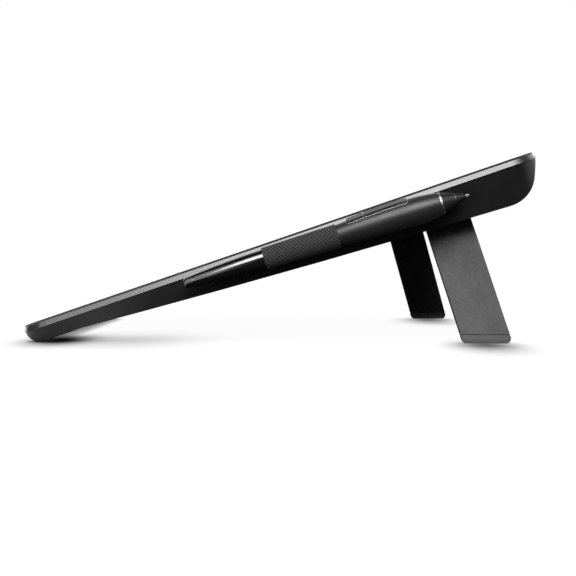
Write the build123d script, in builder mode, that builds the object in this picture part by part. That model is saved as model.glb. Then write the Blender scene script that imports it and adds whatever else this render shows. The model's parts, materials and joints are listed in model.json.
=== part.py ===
from build123d import *

import math
import os

# Pen display on two folding legs, with its pen held in a textile loop at the right-hand side.
# X runs across the tablet, Y from its front edge to its rear edge, Z up from the desk.
# All sizes are in millimetres and all angles in degrees.
# The tablet stands on the front feet and on the two legs, so the desk is the plane Z = 0.

# Driving sizes of the tablet: its outline is the display panel with a border all round
panel_width = 349.0
panel_depth = 199.0
side_border = 36.5
end_border = 45.0
stand_tilt = 18.9
corner_radius = 14.0
front_thickness = 8.7
rear_thickness = 24.3
underside_bow = 1.5
rear_wall_lean = 25.0
rear_round = 18.2

# Glass, and the frame whose sloping band shows round it
glass_thickness = 1.1
glass_reveal = 0.15
glass_edge_break = 0.25
band_height = 2.6
band_slope = 26.0
tongue_height = 1.8
tongue_thickness = 1.2
tongue_gap = 1.2

# Lower housing
rim_step = 0.7
side_draft = 8.0
shell_wall = 2.2
nose_length = 9.0
ridge_drop = 1.35
ridge_end_drop = 0.9
ridge_length = 19.5
ridge_step_run = 3.2
rib_thickness = 1.2
rib_height = 1.6
rib_length = 78.0
rib_spacing = 60.0
rib_count = 5
rib_front_inset = 62.0

# Display stack under the glass
panel_thickness = 1.6
panel_gap = 0.5
tray_height = 3.4
tray_wall = 0.6
guide_gap = 0.3
guide_thickness = 2.2
sensor_thickness = 1.0
shield_thickness = 0.4
shield_overhang = 1.0
chassis_thickness = 0.8
chassis_side_border = 12.5
chassis_end_border = 5.0
chassis_corner = 4.0
chassis_bar = 21.5
chassis_window_depth = 62.0
chassis_window_corner = 6.0
chassis_screw_inset = 5.0
standoff_radius = 2.6
small_screw_radius = 0.9
small_screw_head_radius = 1.8
small_screw_head_height = 1.0
small_screw_length = 2.8
screw_gap = 0.05
screw_tip_room = 0.3

# Main board
board_width = 176.0
board_depth = 64.0
board_thickness = 1.6
board_corner = 2.0
board_rise = 2.0
board_rear_inset = 113.0
board_screw_inset = 5.0
board_post_radius = 2.2
processor_side = 17.0
processor_height = 1.8
memory_width = 9.0
memory_depth = 13.0
memory_height = 1.2
memory_offset = 24.0
choke_side = 7.0
choke_height = 3.0
choke_spacing = 11.0
choke_offset = 52.0
plug_header_width = 24.0
plug_header_depth = 5.0
plug_header_height = 2.4

# Housing screws and the posts that take them
screw_side_inset = 15.0
screw_front_inset = 16.5
screw_rear_inset = 23.0
screw_spacing = 200.0
post_radius = 3.6
frame_boss_height = 2.0
screw_radius = 1.0
screw_hole_radius = 1.2
screw_head_radius = 1.9
screw_head_height = 1.2
screw_bore_radius = 2.3
screw_seat_depth = 8.2
screw_top_depth = 2.3

# Feet of the housing
front_foot_length = 50.0
front_foot_width = 4.2
front_foot_centre = 5.5
front_foot_seat = 8.0
front_foot_inset = 41.0
front_foot_reach = 2.55
foot_groove_depth = 0.7
foot_gap = 0.05
rear_foot_radius = 7.0
rear_foot_proud = 0.6
rear_foot_inset = 40.0
rear_foot_spacing = 120.0

# Folding legs
leg_width = 24.9
leg_thickness = 4.6
leg_splay = 20.5
leg_corner = 2.7
leg_edge_break = 0.4
leg_gap = 0.4
leg_inset = 55.5
hinge_inset = 22.8
hinge_depth = 3.2
knuckle_radius = 3.0
knuckle_length = 13.0
knuckle_clearance = 0.4
pin_radius = 1.5
pin_clearance = 0.05
pin_chamfer = 0.3
ear_gap = 0.3
ear_length = 4.0
ear_radius = 2.9
bracket_thickness = 1.2
bracket_inboard = 14.5
bracket_outboard = 4.4
bracket_screw_offset = 10.0
bracket_screw_spacing = 14.0
pocket_outboard = 5.0
pocket_end_room = 2.2
pocket_wall = 2.2
finger_scoop_radius = 8.0
rubber_foot_height = 4.4
rubber_groove = 0.35
rubber_tenon_thickness = 2.0
rubber_tenon_inset = 3.0
rubber_sole = 1.3

# Cable channel and its socket in the underside, at the rear
channel_offset = 24.0
channel_width = 15.0
channel_depth = 8.6
channel_length = 38.5
channel_corner = 2.0
socket_width = 9.2
socket_height = 3.4
socket_length = 8.0
socket_lip = 0.5
socket_tongue_width = 6.6
socket_tongue_height = 0.7
socket_rise = 4.4
socket_gap = 0.2
socket_shell = 0.35
socket_back = 1.2
socket_tongue_setback = 0.6
port_board_width = 30.0
port_board_depth = 14.0
port_board_thickness = 1.2
port_post_radius = 2.4
port_post_inset = 3.2

# Power button in the rear wall
button_inset = 61.0
button_length = 14.0
button_height = 3.6
button_depth_below_glass = 9.5
button_travel = 0.5
button_proud = 0.6
button_gap = 0.2
button_edge_round = 0.4
button_flange = 0.8
button_flange_thickness = 0.8
switch_side = 5.0
switch_height = 1.6
switch_board_length = 44.0
switch_board_width = 6.0
switch_board_thickness = 1.2
switch_post_radius = 1.6
switch_post_inset = 2.6
lamp_radius = 0.9
lamp_offset = 12.5

# Pen, measured backwards from the tip of its nib
pen_length = 157.0
pen_slope = 1.55
pen_tip_inset = 42.3
pen_tip_depth = 10.7
nib_radius = 0.75
nib_point_radius = 0.3
nib_exposed = 2.0
nib_length = 26.0
nib_travel = 0.6
nib_gap = 0.1
cone_end = 14.9
cone_front_radius = 1.3
cone_rear_radius = 5.75
cone_collar = 7.0
cone_collar_step = 0.12
cone_cavity_start = 10.0
cone_cavity_radius = 2.7
ring_length = 0.8
ring_radius = 5.9
grip_front_radius = 6.0
grip_flare_radius = 7.5
grip_flare_place = 33.0
grip_neck_radius = 5.75
grip_neck_place = 72.0
grip_end = 76.0
grip_end_radius = 5.6
barrel_waist_place = 112.7
barrel_waist_radius = 5.2
barrel_end = 150.8
barrel_end_radius = 3.25
barrel_wall = 1.0
barrel_cavity_end = 140.0
tube_radius = 4.9
tube_bore = 4.2
tube_end = 88.0
coil_length = 13.5
sensor_length = 4.0
pen_fit_gap = 0.3
pen_board_length = 56.0
pen_board_height = 0.8
eraser_travel = 0.5
eraser_tip_radius = 1.7
eraser_shoulder_radius = 2.75
eraser_stem_radius = 1.5
eraser_stem_length = 6.5

# Rocker key on the pen
key_start = 32.2
key_length = 33.4
key_width = 5.0
key_proud = 0.55
key_foot = 2.3
key_clearance = 0.2
key_end_round = 1.6
key_crown = 0.15
key_groove_place = 24.1
key_groove_width = 0.8
key_groove_depth = 0.5
key_roll = 20.0
key_pin_radius = 0.6
key_pin_height = 3.0
key_pin_length = 7.4
key_tilt = 2.0

# Textile loop and the clip that holds it in the side wall
loop_start = 72.0
loop_gap = 0.3
loop_thickness = 0.5
anchor_length = 38.0
anchor_height = 3.2
anchor_flange = 0.5
anchor_flange_thickness = 1.2
anchor_slot_gap = 0.2
loop_tail_height = 2.6

# One overrun serves every cut that runs out of its piece
cut_over = 30.0


def tan(angle):
    """Tangent of an angle in degrees."""
    return math.tan(math.radians(angle))


def sin(angle):
    """Sine of an angle in degrees."""
    return math.sin(math.radians(angle))


def cos(angle):
    """Cosine of an angle in degrees."""
    return math.cos(math.radians(angle))


# Outline of the tablet, and the places that follow its edges
tablet_width = panel_width + 2 * side_border
tablet_depth = panel_depth + 2 * end_border
chassis_width = panel_width + 2 * chassis_side_border
chassis_depth = panel_depth + 2 * chassis_end_border
chassis_window_width = (chassis_width - 4 * chassis_bar) / 3
front_foot_spacing = tablet_width - 2 * front_foot_inset
leg_station = tablet_depth - leg_inset
hinge_offset = tablet_width / 2 - hinge_inset
plate_start = ear_radius + leg_gap
channel_start = tablet_depth - channel_length
button_offset = tablet_width / 2 - button_inset
pen_tip_along = tablet_depth - pen_tip_inset
loop_end = barrel_waist_place

# Levels below the top of the glass
parting_depth = glass_thickness + band_height
glass_inset = band_height * tan(band_slope) + glass_reveal
panel_bottom = glass_thickness + panel_thickness
tray_bottom = panel_bottom + tray_height
sensor_bottom = tray_bottom + sensor_thickness
shield_bottom = sensor_bottom + shield_thickness
chassis_bottom = shield_bottom + chassis_thickness
board_top = chassis_bottom + board_rise
board_bottom = board_top + board_thickness
boss_bottom = parting_depth + frame_boss_height


def underside_depth(along):
    """Depth of the bowed underside below the glass, at a distance from the front edge."""
    share = along / tablet_depth
    straight = front_thickness + (rear_thickness - front_thickness) * share
    return straight + 4 * underside_bow * share * (1 - share)


def underside_angle(along):
    """Angle between the glass and the underside at a distance from the front edge."""
    share = along / tablet_depth
    slope = (rear_thickness - front_thickness + 4 * underside_bow * (1 - 2 * share)) / tablet_depth
    return math.degrees(math.atan(slope))


# The pen stands out furthest at the right and the leg at the left, which sets the middle of the tablet
flare_depth = pen_tip_depth - grip_flare_place * sin(pen_slope)
wall_at_pen = tablet_width / 2 - rim_step - (flare_depth - parting_depth) * tan(side_draft)
pen_offset = wall_at_pen + grip_flare_radius + pen_fit_gap
pen_reach = pen_offset + grip_flare_radius

# The front feet carry the tablet, so their place sets its height
ridge_depth = underside_depth(nose_length) + ridge_drop
front_foot_depth = front_foot_seat + front_foot_reach
front_height = front_foot_depth * cos(stand_tilt) - front_foot_centre * sin(stand_tilt)
front_place = -(tablet_depth * cos(stand_tilt) + 2 * parting_depth * sin(stand_tilt)) / 2

# The hinge line of a leg lies along the underside, and its foot ends on the desk
leg_lean = stand_tilt - underside_angle(leg_station)
hinge_level = underside_depth(leg_station) - hinge_depth * cos(underside_angle(leg_station))
hinge_height = front_height + leg_station * sin(stand_tilt) - hinge_level * cos(stand_tilt)
leg_reach = hinge_height / (cos(leg_splay) * cos(leg_lean))
foot_slant = tan(leg_lean) / cos(leg_splay)
leg_length = leg_reach + hinge_depth * tan(leg_splay)
foot_offset = hinge_offset + hinge_depth * cos(leg_splay) + leg_length * sin(leg_splay)
middle = -(pen_reach - foot_offset) / 2

# Working planes
side_view = Plane(
    origin=(middle, front_place, front_height),
    x_dir=(0, cos(stand_tilt), sin(stand_tilt)),
    z_dir=(1, 0, 0),
)
deck = Plane(
    origin=side_view.from_local_coords((tablet_depth / 2, 0, 0)),
    x_dir=(1, 0, 0),
    z_dir=(0, -sin(stand_tilt), cos(stand_tilt)),
)
deck_axis = Axis(deck.origin, deck.z_dir)
mirror_plane = Plane(origin=(middle, 0, 0), z_dir=(1, 0, 0))


def deck_level(depth):
    """Plane parallel to the glass at a depth below its top."""
    return deck.offset(-depth)


def underside_plane(along):
    """Plane that touches the underside at a distance from the front edge, its Z into the housing."""
    angle = stand_tilt - underside_angle(along)
    return Plane(
        origin=side_view.from_local_coords((along, -underside_depth(along), 0)),
        x_dir=(1, 0, 0),
        z_dir=(0, -sin(angle), cos(angle)),
    )


def side_outline(top, inset):
    """Side view of the lower housing as a face below `top`, drawn `inset` within its skin."""
    ridge_slope = tan(underside_angle(0))
    ridge_front = (nose_length, -ridge_depth)
    ridge_back = (ridge_length, -underside_depth(ridge_length) - ridge_end_drop)
    step_along = ridge_length + ridge_step_run
    step_foot = (step_along, -underside_depth(step_along))
    bow_middle = (step_along + tablet_depth) / 2
    lean = tan(rear_wall_lean)
    front = rim_step
    rear = tablet_depth - rim_step
    rear_along = rear - (rear_thickness - parting_depth) * lean
    rear_foot_place = (rear_along, -underside_depth(rear_along))
    with BuildSketch(side_view) as outline:
        with BuildLine():
            Line((front, -top), (front, -parting_depth))
            TangentArc(ridge_front, (front, -parting_depth), tangent=(-1, ridge_slope))
            Line(ridge_front, ridge_back)
            Line(ridge_back, step_foot)
            ThreePointArc(step_foot, (bow_middle, -underside_depth(bow_middle)), rear_foot_place)
            Line(rear_foot_place, (rear, -parting_depth))
            Line((rear, -parting_depth), (rear, -top))
            Line((rear, -top), (front, -top))
        make_face()
        fillet(outline.vertices().sort_by(Axis.Y)[0], rear_round)
        if inset:
            offset(amount=-inset, mode=Mode.REPLACE)
    return outline.sketch


def side_wall_plane(along, depth, side):
    """Plane on the drafted side wall, its Z outwards."""
    across = tablet_width / 2 - rim_step - (depth - parting_depth) * tan(side_draft)
    return Plane(
        origin=deck.from_local_coords((side * across, along - tablet_depth / 2, -depth)),
        x_dir=deck.y_dir,
        z_dir=deck.x_dir * side * cos(side_draft) - deck.z_dir * sin(side_draft),
    )


def rear_wall_plane(depth):
    """Plane on the leaning rear wall at a depth below the glass, its Z outwards and its Y up."""
    along = tablet_depth / 2 - rim_step - (depth - parting_depth) * tan(rear_wall_lean)
    return Plane(
        origin=deck.from_local_coords((0, along, -depth)),
        x_dir=-deck.x_dir,
        z_dir=deck.y_dir * cos(rear_wall_lean) - deck.z_dir * sin(rear_wall_lean),
    )


# Leg pockets: the leg lies in the shallow part when folded, and the hinge sits in the deep part
leg_floor = underside_plane(leg_station)
pocket_depth = leg_thickness + leg_gap
bracket_level = hinge_depth + knuckle_radius + knuckle_clearance
hinge_pocket_depth = bracket_level + bracket_thickness
pocket_half = leg_width / 2 + leg_gap
scoop_centre = hinge_offset - leg_reach - finger_scoop_radius / 2


def leg_pocket(side, grow):
    """Outline of the shallow pocket for one leg, made wider all round by `grow`."""
    half = pocket_half + grow
    outboard = hinge_offset + pocket_outboard + grow
    end = hinge_offset - leg_length - pocket_end_room - grow
    slant = half * foot_slant
    with BuildSketch(leg_floor) as outline:
        with BuildLine():
            Polyline(
                (side * outboard, -half),
                (side * outboard, half),
                (side * (end - slant), half),
                (side * (end + slant), -half),
                close=True,
            )
        make_face()
        with Locations((side * scoop_centre, 0)):
            Circle(finger_scoop_radius + grow)
    return outline.sketch


def hinge_pocket(side, grow):
    """Outline of the deep pocket for one hinge, made wider all round by `grow`."""
    outboard = hinge_offset + pocket_outboard + grow
    inboard = hinge_offset - bracket_inboard - leg_gap - grow
    with BuildSketch(leg_floor) as outline:
        with Locations((side * (outboard + inboard) / 2, 0)):
            Rectangle(outboard - inboard, 2 * (pocket_half + grow))
    return outline.sketch


# Cable channel: it opens at the rear, and its front wall holds the socket
channel_floor = underside_plane(channel_start)


def channel_outline(grow):
    """Outline of the cable channel, running out past the rear wall."""
    with BuildSketch(channel_floor) as outline:
        with Locations((channel_offset, -grow)):
            Rectangle(channel_width + 2 * grow, tablet_depth, align=(Align.CENTER, Align.MIN))
        fillet(outline.vertices().group_by(Axis.Y)[0], channel_corner)
    return outline.sketch


def front_foot_section(side, gap):
    """Cross-section of one front foot in its groove, reaching below the desk."""
    middle_plane = side_view.offset(side * front_foot_spacing / 2)
    with BuildSketch(middle_plane) as section:
        with Locations((front_foot_centre, -front_foot_seat)):
            Rectangle(front_foot_width + 2 * gap, cut_over, align=(Align.CENTER, Align.MAX))
    return section.sketch


def rear_foot_outline(side, gap):
    """Outline of one rear foot on the underside."""
    with BuildSketch(underside_plane(tablet_depth - rear_foot_inset)) as outline:
        with Locations((side * rear_foot_spacing / 2, 0)):
            Circle(rear_foot_radius + gap)
    return outline.sketch


# Middles of the housing screws, from the middle of the glass
screw_side = tablet_width / 2 - screw_side_inset
screw_front = screw_front_inset - tablet_depth / 2
screw_rear = tablet_depth / 2 - screw_rear_inset
screw_spots = [(side * screw_side, along) for side in (-1, 1) for along in (screw_front, 0, screw_rear)]
middle_screw = screw_spacing / 2
screw_spots += [(side * middle_screw, along) for side in (-1, 1) for along in (screw_front, screw_rear)]

# Levels in the rear wall, inwards from its skin
button_plane = rear_wall_plane(button_depth_below_glass)
button_axis = Axis(button_plane.origin, button_plane.z_dir)
button_flange_top = shell_wall + button_gap
switch_top = button_flange_top + button_flange_thickness + button_travel + button_gap
switch_board_top = switch_top + switch_height
switch_post_spacing = switch_board_length - 2 * switch_post_inset

# Levels of the cable socket, inwards from the underside
port_board_level = socket_rise + socket_height / 2
port_post_spacing = port_board_width - 2 * port_post_inset
port_board_centre = -shell_wall - port_board_depth / 2

socket_plane = Plane(
    origin=channel_floor.from_local_coords((channel_offset, 0, socket_rise)),
    x_dir=-channel_floor.x_dir,
    z_dir=channel_floor.y_dir,
)

# The pen lies beside the wall, its axis nearly along the glass
pen_view = Plane(
    origin=side_view.from_local_coords((pen_tip_along, -pen_tip_depth, pen_offset)),
    x_dir=(0, -cos(stand_tilt - pen_slope), -sin(stand_tilt - pen_slope)),
    z_dir=(-1, 0, 0),
)
pen_section = Plane(origin=pen_view.origin, x_dir=pen_view.x_dir, z_dir=-pen_view.z_dir)
pen_axis = Axis(pen_view.origin, pen_view.x_dir)
loop_middle = (loop_start + loop_end) / 2
loop_place = side_view.to_local_coords(pen_view.from_local_coords((loop_middle, 0, 0)))
anchor_plane = side_wall_plane(loop_place.X, -loop_place.Y, 1)

os.makedirs("parts", exist_ok=True)

# Housing forms: the outside of the lower housing, and the room inside it
housing_width = tablet_width - 2 * rim_step
housing_depth = tablet_depth - 2 * rim_step
housing_corner = corner_radius - rim_step

with BuildPart() as housing_form:
    extrude(side_outline(parting_depth - shell_wall, 0), amount=tablet_width / 2, both=True)
    with BuildSketch(deck_level(parting_depth)):
        RectangleRounded(housing_width, housing_depth, housing_corner)
    extrude(amount=-(rear_thickness + cut_over), taper=side_draft, mode=Mode.INTERSECT)

# The room is what a moulder's core would fill, so posts, ribs and pocket walls are cut out of it
with BuildPart() as housing_room:
    extrude(side_outline(parting_depth - 2 * shell_wall, shell_wall), amount=tablet_width / 2, both=True)
    with BuildSketch(deck_level(parting_depth)):
        RectangleRounded(
            housing_width - 2 * shell_wall,
            housing_depth - 2 * shell_wall,
            housing_corner - shell_wall,
        )
    extrude(amount=-(rear_thickness + cut_over), taper=side_draft, mode=Mode.INTERSECT)
    with BuildSketch(deck_level(boss_bottom)):
        with Locations(*screw_spots):
            Circle(post_radius)
    extrude(amount=-(rear_thickness + cut_over), mode=Mode.SUBTRACT)
    with BuildSketch(underside_plane(rib_front_inset + rib_length / 2).offset(shell_wall + rib_height)):
        with GridLocations(rib_spacing, 0, rib_count, 1):
            Rectangle(rib_thickness, rib_length)
    extrude(amount=-cut_over, mode=Mode.SUBTRACT)
    for side in (-1, 1):
        extrude(leg_pocket(side, pocket_wall), amount=pocket_depth + pocket_wall, mode=Mode.SUBTRACT)
        hinge_room = hinge_pocket_depth + pocket_wall
        extrude(hinge_pocket(side, pocket_wall), amount=hinge_room, mode=Mode.SUBTRACT)
    extrude(channel_outline(pocket_wall), amount=channel_depth + pocket_wall, mode=Mode.SUBTRACT)
    with BuildSketch(channel_floor):
        with Locations((channel_offset, port_board_centre)):
            with GridLocations(port_post_spacing, 0, 2, 1):
                Circle(port_post_radius)
    extrude(amount=port_board_level, mode=Mode.SUBTRACT)
    with BuildSketch(button_plane):
        with Locations((-button_offset, 0)):
            with GridLocations(switch_post_spacing, 0, 2, 1):
                Circle(switch_post_radius)
    extrude(amount=-switch_board_top, mode=Mode.SUBTRACT)

with BuildPart() as rear_shell:
    add(housing_form.part)
    add(housing_room.part, mode=Mode.SUBTRACT)
    with BuildSketch(deck_level(boss_bottom)):
        with Locations(*screw_spots):
            Circle(screw_hole_radius)
    extrude(amount=-(rear_thickness + cut_over), mode=Mode.SUBTRACT)
    with BuildSketch(deck_level(screw_seat_depth)):
        with Locations(*screw_spots):
            Circle(screw_bore_radius)
    extrude(amount=-(rear_thickness + cut_over), mode=Mode.SUBTRACT)
    for side in (-1, 1):
        extrude(leg_pocket(side, 0), amount=pocket_depth, mode=Mode.SUBTRACT)
        extrude(leg_pocket(side, 0), amount=-cut_over, mode=Mode.SUBTRACT)
        extrude(hinge_pocket(side, 0), amount=hinge_pocket_depth, mode=Mode.SUBTRACT)
    with BuildSketch(leg_floor.offset(hinge_pocket_depth)):
        for side in (-1, 1):
            with Locations((side * (hinge_offset - bracket_screw_offset), 0)):
                with GridLocations(0, bracket_screw_spacing, 1, 2):
                    Circle(small_screw_radius + screw_gap)
    extrude(amount=small_screw_length - bracket_thickness + screw_tip_room, mode=Mode.SUBTRACT)
    extrude(channel_outline(0), amount=channel_depth, mode=Mode.SUBTRACT)
    extrude(channel_outline(0), amount=-cut_over, mode=Mode.SUBTRACT)
    with BuildSketch(socket_plane):
        SlotOverall(socket_width + 2 * socket_gap, socket_height + 2 * socket_gap)
    extrude(amount=-(pocket_wall + socket_gap), mode=Mode.SUBTRACT)
    with BuildSketch(button_plane):
        with Locations((-button_offset, 0)):
            SlotOverall(button_length + 2 * button_gap, button_height + 2 * button_gap)
            with Locations((-lamp_offset, 0)):
                Circle(lamp_radius + screw_gap)
    extrude(amount=-(shell_wall + button_gap), mode=Mode.SUBTRACT)
    with BuildSketch(anchor_plane):
        Rectangle(anchor_length + 2 * anchor_slot_gap, anchor_height + 2 * anchor_slot_gap)
    extrude(amount=-(shell_wall + anchor_slot_gap), mode=Mode.SUBTRACT)
    for side in (-1, 1):
        front_groove = front_foot_section(side, foot_gap)
        extrude(front_groove, amount=front_foot_length / 2 + foot_gap, both=True, mode=Mode.SUBTRACT)
        extrude(rear_foot_outline(side, foot_gap), amount=foot_groove_depth, mode=Mode.SUBTRACT)
        extrude(rear_foot_outline(side, foot_gap), amount=-cut_over, mode=Mode.SUBTRACT)
rear_shell.part.label = "rear_shell"
export_step(rear_shell.part, "parts/rear_shell.step")

# Front feet: rubber strips in the ridge, worn flat where they stand on the desk
with BuildPart() as front_feet:
    for side in (-1, 1):
        extrude(front_foot_section(side, 0), amount=front_foot_length / 2, both=True)
    split(bisect_by=Plane.XY, keep=Keep.TOP)
front_feet.part.label = "front_feet"
export_step(front_feet.part, "parts/front_feet.step")

# Rear feet: round pads that take over when the legs are folded away
with BuildPart() as rear_feet:
    for side in (-1, 1):
        extrude(rear_foot_outline(side, 0), amount=foot_groove_depth)
        extrude(rear_foot_outline(side, 0), amount=-rear_foot_proud)
    pad_soles = rear_feet.faces().group_by(deck_axis)[0]
    chamfer(pad_soles.edges(), glass_edge_break)
rear_feet.part.label = "rear_feet"
export_step(rear_feet.part, "parts/rear_feet.step")

# Cover glass, edge to edge over the frame
with BuildPart() as cover_glass:
    with BuildSketch(deck_level(glass_thickness)):
        RectangleRounded(
            tablet_width - 2 * glass_inset,
            tablet_depth - 2 * glass_inset,
            corner_radius - glass_inset,
        )
    extrude(amount=glass_thickness)
    chamfer(cover_glass.faces().sort_by(deck_axis)[-1].edges(), glass_edge_break)
cover_glass.part.label = "cover_glass"
export_step(cover_glass.part, "parts/cover_glass.step")

# Top frame: sloping band all round, window for the panel, tongue inside the housing rim and screw bosses
tongue_inset = rim_step + shell_wall + tongue_gap
chassis_screw_x = chassis_width / 2 - chassis_screw_inset
chassis_screw_y = chassis_depth / 2 - chassis_screw_inset

with BuildPart() as top_frame:
    with BuildSketch(deck_level(parting_depth)):
        RectangleRounded(tablet_width, tablet_depth, corner_radius)
    extrude(amount=band_height, taper=band_slope)
    with BuildSketch(deck_level(parting_depth)):
        RectangleRounded(
            tablet_width - 2 * tongue_inset,
            tablet_depth - 2 * tongue_inset,
            corner_radius - tongue_inset,
        )
        RectangleRounded(
            tablet_width - 2 * (tongue_inset + tongue_thickness),
            tablet_depth - 2 * (tongue_inset + tongue_thickness),
            corner_radius - tongue_inset - tongue_thickness,
            mode=Mode.SUBTRACT,
        )
    extrude(amount=-tongue_height)
    with BuildSketch(deck_level(parting_depth)):
        with Locations(*screw_spots):
            Circle(post_radius)
    extrude(amount=-frame_boss_height)
    with BuildSketch(deck_level(parting_depth)):
        with GridLocations(2 * chassis_screw_x, chassis_screw_y, 2, 3):
            Circle(standoff_radius)
    extrude(amount=-(shield_bottom - parting_depth))
    with BuildSketch(deck_level(screw_top_depth - screw_tip_room)):
        with Locations(*screw_spots):
            Circle(screw_radius + screw_gap)
    extrude(amount=-cut_over, mode=Mode.SUBTRACT)
    with BuildSketch(deck_level(shield_bottom)):
        with GridLocations(2 * chassis_screw_x, chassis_screw_y, 2, 3):
            Circle(small_screw_radius + screw_gap)
    extrude(amount=small_screw_length + screw_tip_room, mode=Mode.SUBTRACT)
    with BuildSketch(deck):
        Rectangle(panel_width + 2 * panel_gap, panel_depth + 2 * panel_gap)
    extrude(amount=-cut_over, mode=Mode.SUBTRACT)
top_frame.part.label = "top_frame"
export_step(top_frame.part, "parts/top_frame.step")

# Display panel, bonded under the glass
with BuildPart() as display_panel:
    with BuildSketch(deck_level(panel_bottom)):
        Rectangle(panel_width, panel_depth)
    extrude(amount=panel_thickness)
display_panel.part.label = "display_panel"
export_step(display_panel.part, "parts/display_panel.step")

# Backlight tray: a shallow metal pan, with the light guide and the diffuser in it
with BuildPart() as backlight_tray:
    with BuildSketch(deck_level(tray_bottom)):
        Rectangle(panel_width, panel_depth)
    extrude(amount=tray_height)
    with BuildSketch(deck_level(tray_bottom - tray_wall)):
        Rectangle(panel_width - 2 * tray_wall, panel_depth - 2 * tray_wall)
    extrude(amount=tray_height, mode=Mode.SUBTRACT)
backlight_tray.part.label = "backlight_tray"
export_step(backlight_tray.part, "parts/backlight_tray.step")

guide_width = panel_width - 2 * tray_wall - 2 * guide_gap
guide_depth = panel_depth - 2 * tray_wall - 2 * guide_gap
guide_bottom = tray_bottom - tray_wall

with BuildPart() as light_guide:
    with BuildSketch(deck_level(guide_bottom)):
        Rectangle(guide_width, guide_depth)
    extrude(amount=guide_thickness)
light_guide.part.label = "light_guide"
export_step(light_guide.part, "parts/light_guide.step")

with BuildPart() as diffuser:
    with BuildSketch(deck_level(guide_bottom - guide_thickness)):
        Rectangle(guide_width, guide_depth)
    extrude(amount=tray_height - tray_wall - guide_thickness - screw_gap)
diffuser.part.label = "diffuser"
export_step(diffuser.part, "parts/diffuser.step")

# Pen sensor board and its shield, behind the backlight
with BuildPart() as sensor_board:
    with BuildSketch(deck_level(sensor_bottom)):
        Rectangle(panel_width, panel_depth)
    extrude(amount=sensor_thickness)
sensor_board.part.label = "sensor_board"
export_step(sensor_board.part, "parts/sensor_board.step")

with BuildPart() as shield_plate:
    with BuildSketch(deck_level(shield_bottom)):
        Rectangle(panel_width + 2 * shield_overhang, panel_depth + 2 * shield_overhang)
    extrude(amount=shield_thickness)
shield_plate.part.label = "shield_plate"
export_step(shield_plate.part, "parts/shield_plate.step")

# Middle chassis: a pressed plate that clamps the stack to the frame and carries the main board
board_place = tablet_depth / 2 - board_rear_inset
board_screw_spacing_x = board_width - 2 * board_screw_inset
board_screw_spacing_y = board_depth - 2 * board_screw_inset
chassis_window_place = chassis_window_depth / 2 + chassis_screw_inset - chassis_depth / 2

with BuildPart() as middle_chassis:
    with BuildSketch(deck_level(chassis_bottom)):
        RectangleRounded(chassis_width, chassis_depth, chassis_corner)
        with Locations((0, chassis_window_place)):
            with GridLocations(chassis_window_width + chassis_bar, 0, 3, 1):
                RectangleRounded(
                    chassis_window_width,
                    chassis_window_depth,
                    chassis_window_corner,
                    mode=Mode.SUBTRACT,
                )
        with GridLocations(2 * chassis_screw_x, chassis_screw_y, 2, 3):
            Circle(small_screw_radius + screw_gap, mode=Mode.SUBTRACT)
    extrude(amount=chassis_thickness)
    with BuildSketch(deck_level(chassis_bottom)):
        with Locations((0, board_place)):
            with GridLocations(board_screw_spacing_x, board_screw_spacing_y, 2, 2):
                Circle(board_post_radius)
    extrude(amount=-board_rise)
    with BuildSketch(deck_level(board_top)):
        with Locations((0, board_place)):
            with GridLocations(board_screw_spacing_x, board_screw_spacing_y, 2, 2):
                Circle(small_screw_radius + screw_gap)
    extrude(amount=small_screw_length - board_thickness + screw_tip_room, mode=Mode.SUBTRACT)
middle_chassis.part.label = "middle_chassis"
export_step(middle_chassis.part, "parts/middle_chassis.step")

with BuildPart() as main_board:
    with BuildSketch(deck_level(board_bottom)):
        with Locations((0, board_place)):
            RectangleRounded(board_width, board_depth, board_corner)
            with GridLocations(board_screw_spacing_x, board_screw_spacing_y, 2, 2):
                Circle(small_screw_radius + screw_gap, mode=Mode.SUBTRACT)
    extrude(amount=board_thickness)
main_board.part.label = "main_board"
export_step(main_board.part, "parts/main_board.step")

# Parts soldered to the main board: a processor, two memories, a row of chokes and a plug header
with BuildPart() as board_parts:
    with BuildSketch(deck_level(board_bottom)):
        with Locations((0, board_place)):
            Rectangle(processor_side, processor_side)
    extrude(amount=-processor_height)
    with BuildSketch(deck_level(board_bottom)):
        with Locations((memory_offset, board_place)):
            Rectangle(memory_width, memory_depth)
        with Locations((-memory_offset, board_place)):
            Rectangle(memory_width, memory_depth)
    extrude(amount=-memory_height)
    with BuildSketch(deck_level(board_bottom)):
        with Locations((choke_offset, board_place)):
            with GridLocations(0, choke_spacing, 1, 3):
                Rectangle(choke_side, choke_side)
    extrude(amount=-choke_height)
    with BuildSketch(deck_level(board_bottom)):
        with Locations((-choke_offset, board_place + choke_spacing)):
            Rectangle(plug_header_width, plug_header_depth)
    extrude(amount=-plug_header_height)
board_parts.part.label = "board_parts"
export_step(board_parts.part, "parts/board_parts.step")

# Screws: pan heads on plain shanks
with BuildPart() as housing_screws:
    with BuildSketch(deck_level(screw_seat_depth)):
        with Locations(*screw_spots):
            Circle(screw_radius)
    extrude(amount=screw_seat_depth - screw_top_depth)
    with BuildSketch(deck_level(screw_seat_depth)):
        with Locations(*screw_spots):
            Circle(screw_head_radius)
    extrude(amount=-screw_head_height)
housing_screws.part.label = "housing_screws"
export_step(housing_screws.part, "parts/housing_screws.step")

with BuildPart() as chassis_screws:
    with BuildSketch(deck_level(chassis_bottom)):
        with GridLocations(2 * chassis_screw_x, chassis_screw_y, 2, 3):
            Circle(small_screw_radius)
    extrude(amount=small_screw_length)
    with BuildSketch(deck_level(chassis_bottom)):
        with GridLocations(2 * chassis_screw_x, chassis_screw_y, 2, 3):
            Circle(small_screw_head_radius)
    extrude(amount=-small_screw_head_height)
chassis_screws.part.label = "chassis_screws"
export_step(chassis_screws.part, "parts/chassis_screws.step")

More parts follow.
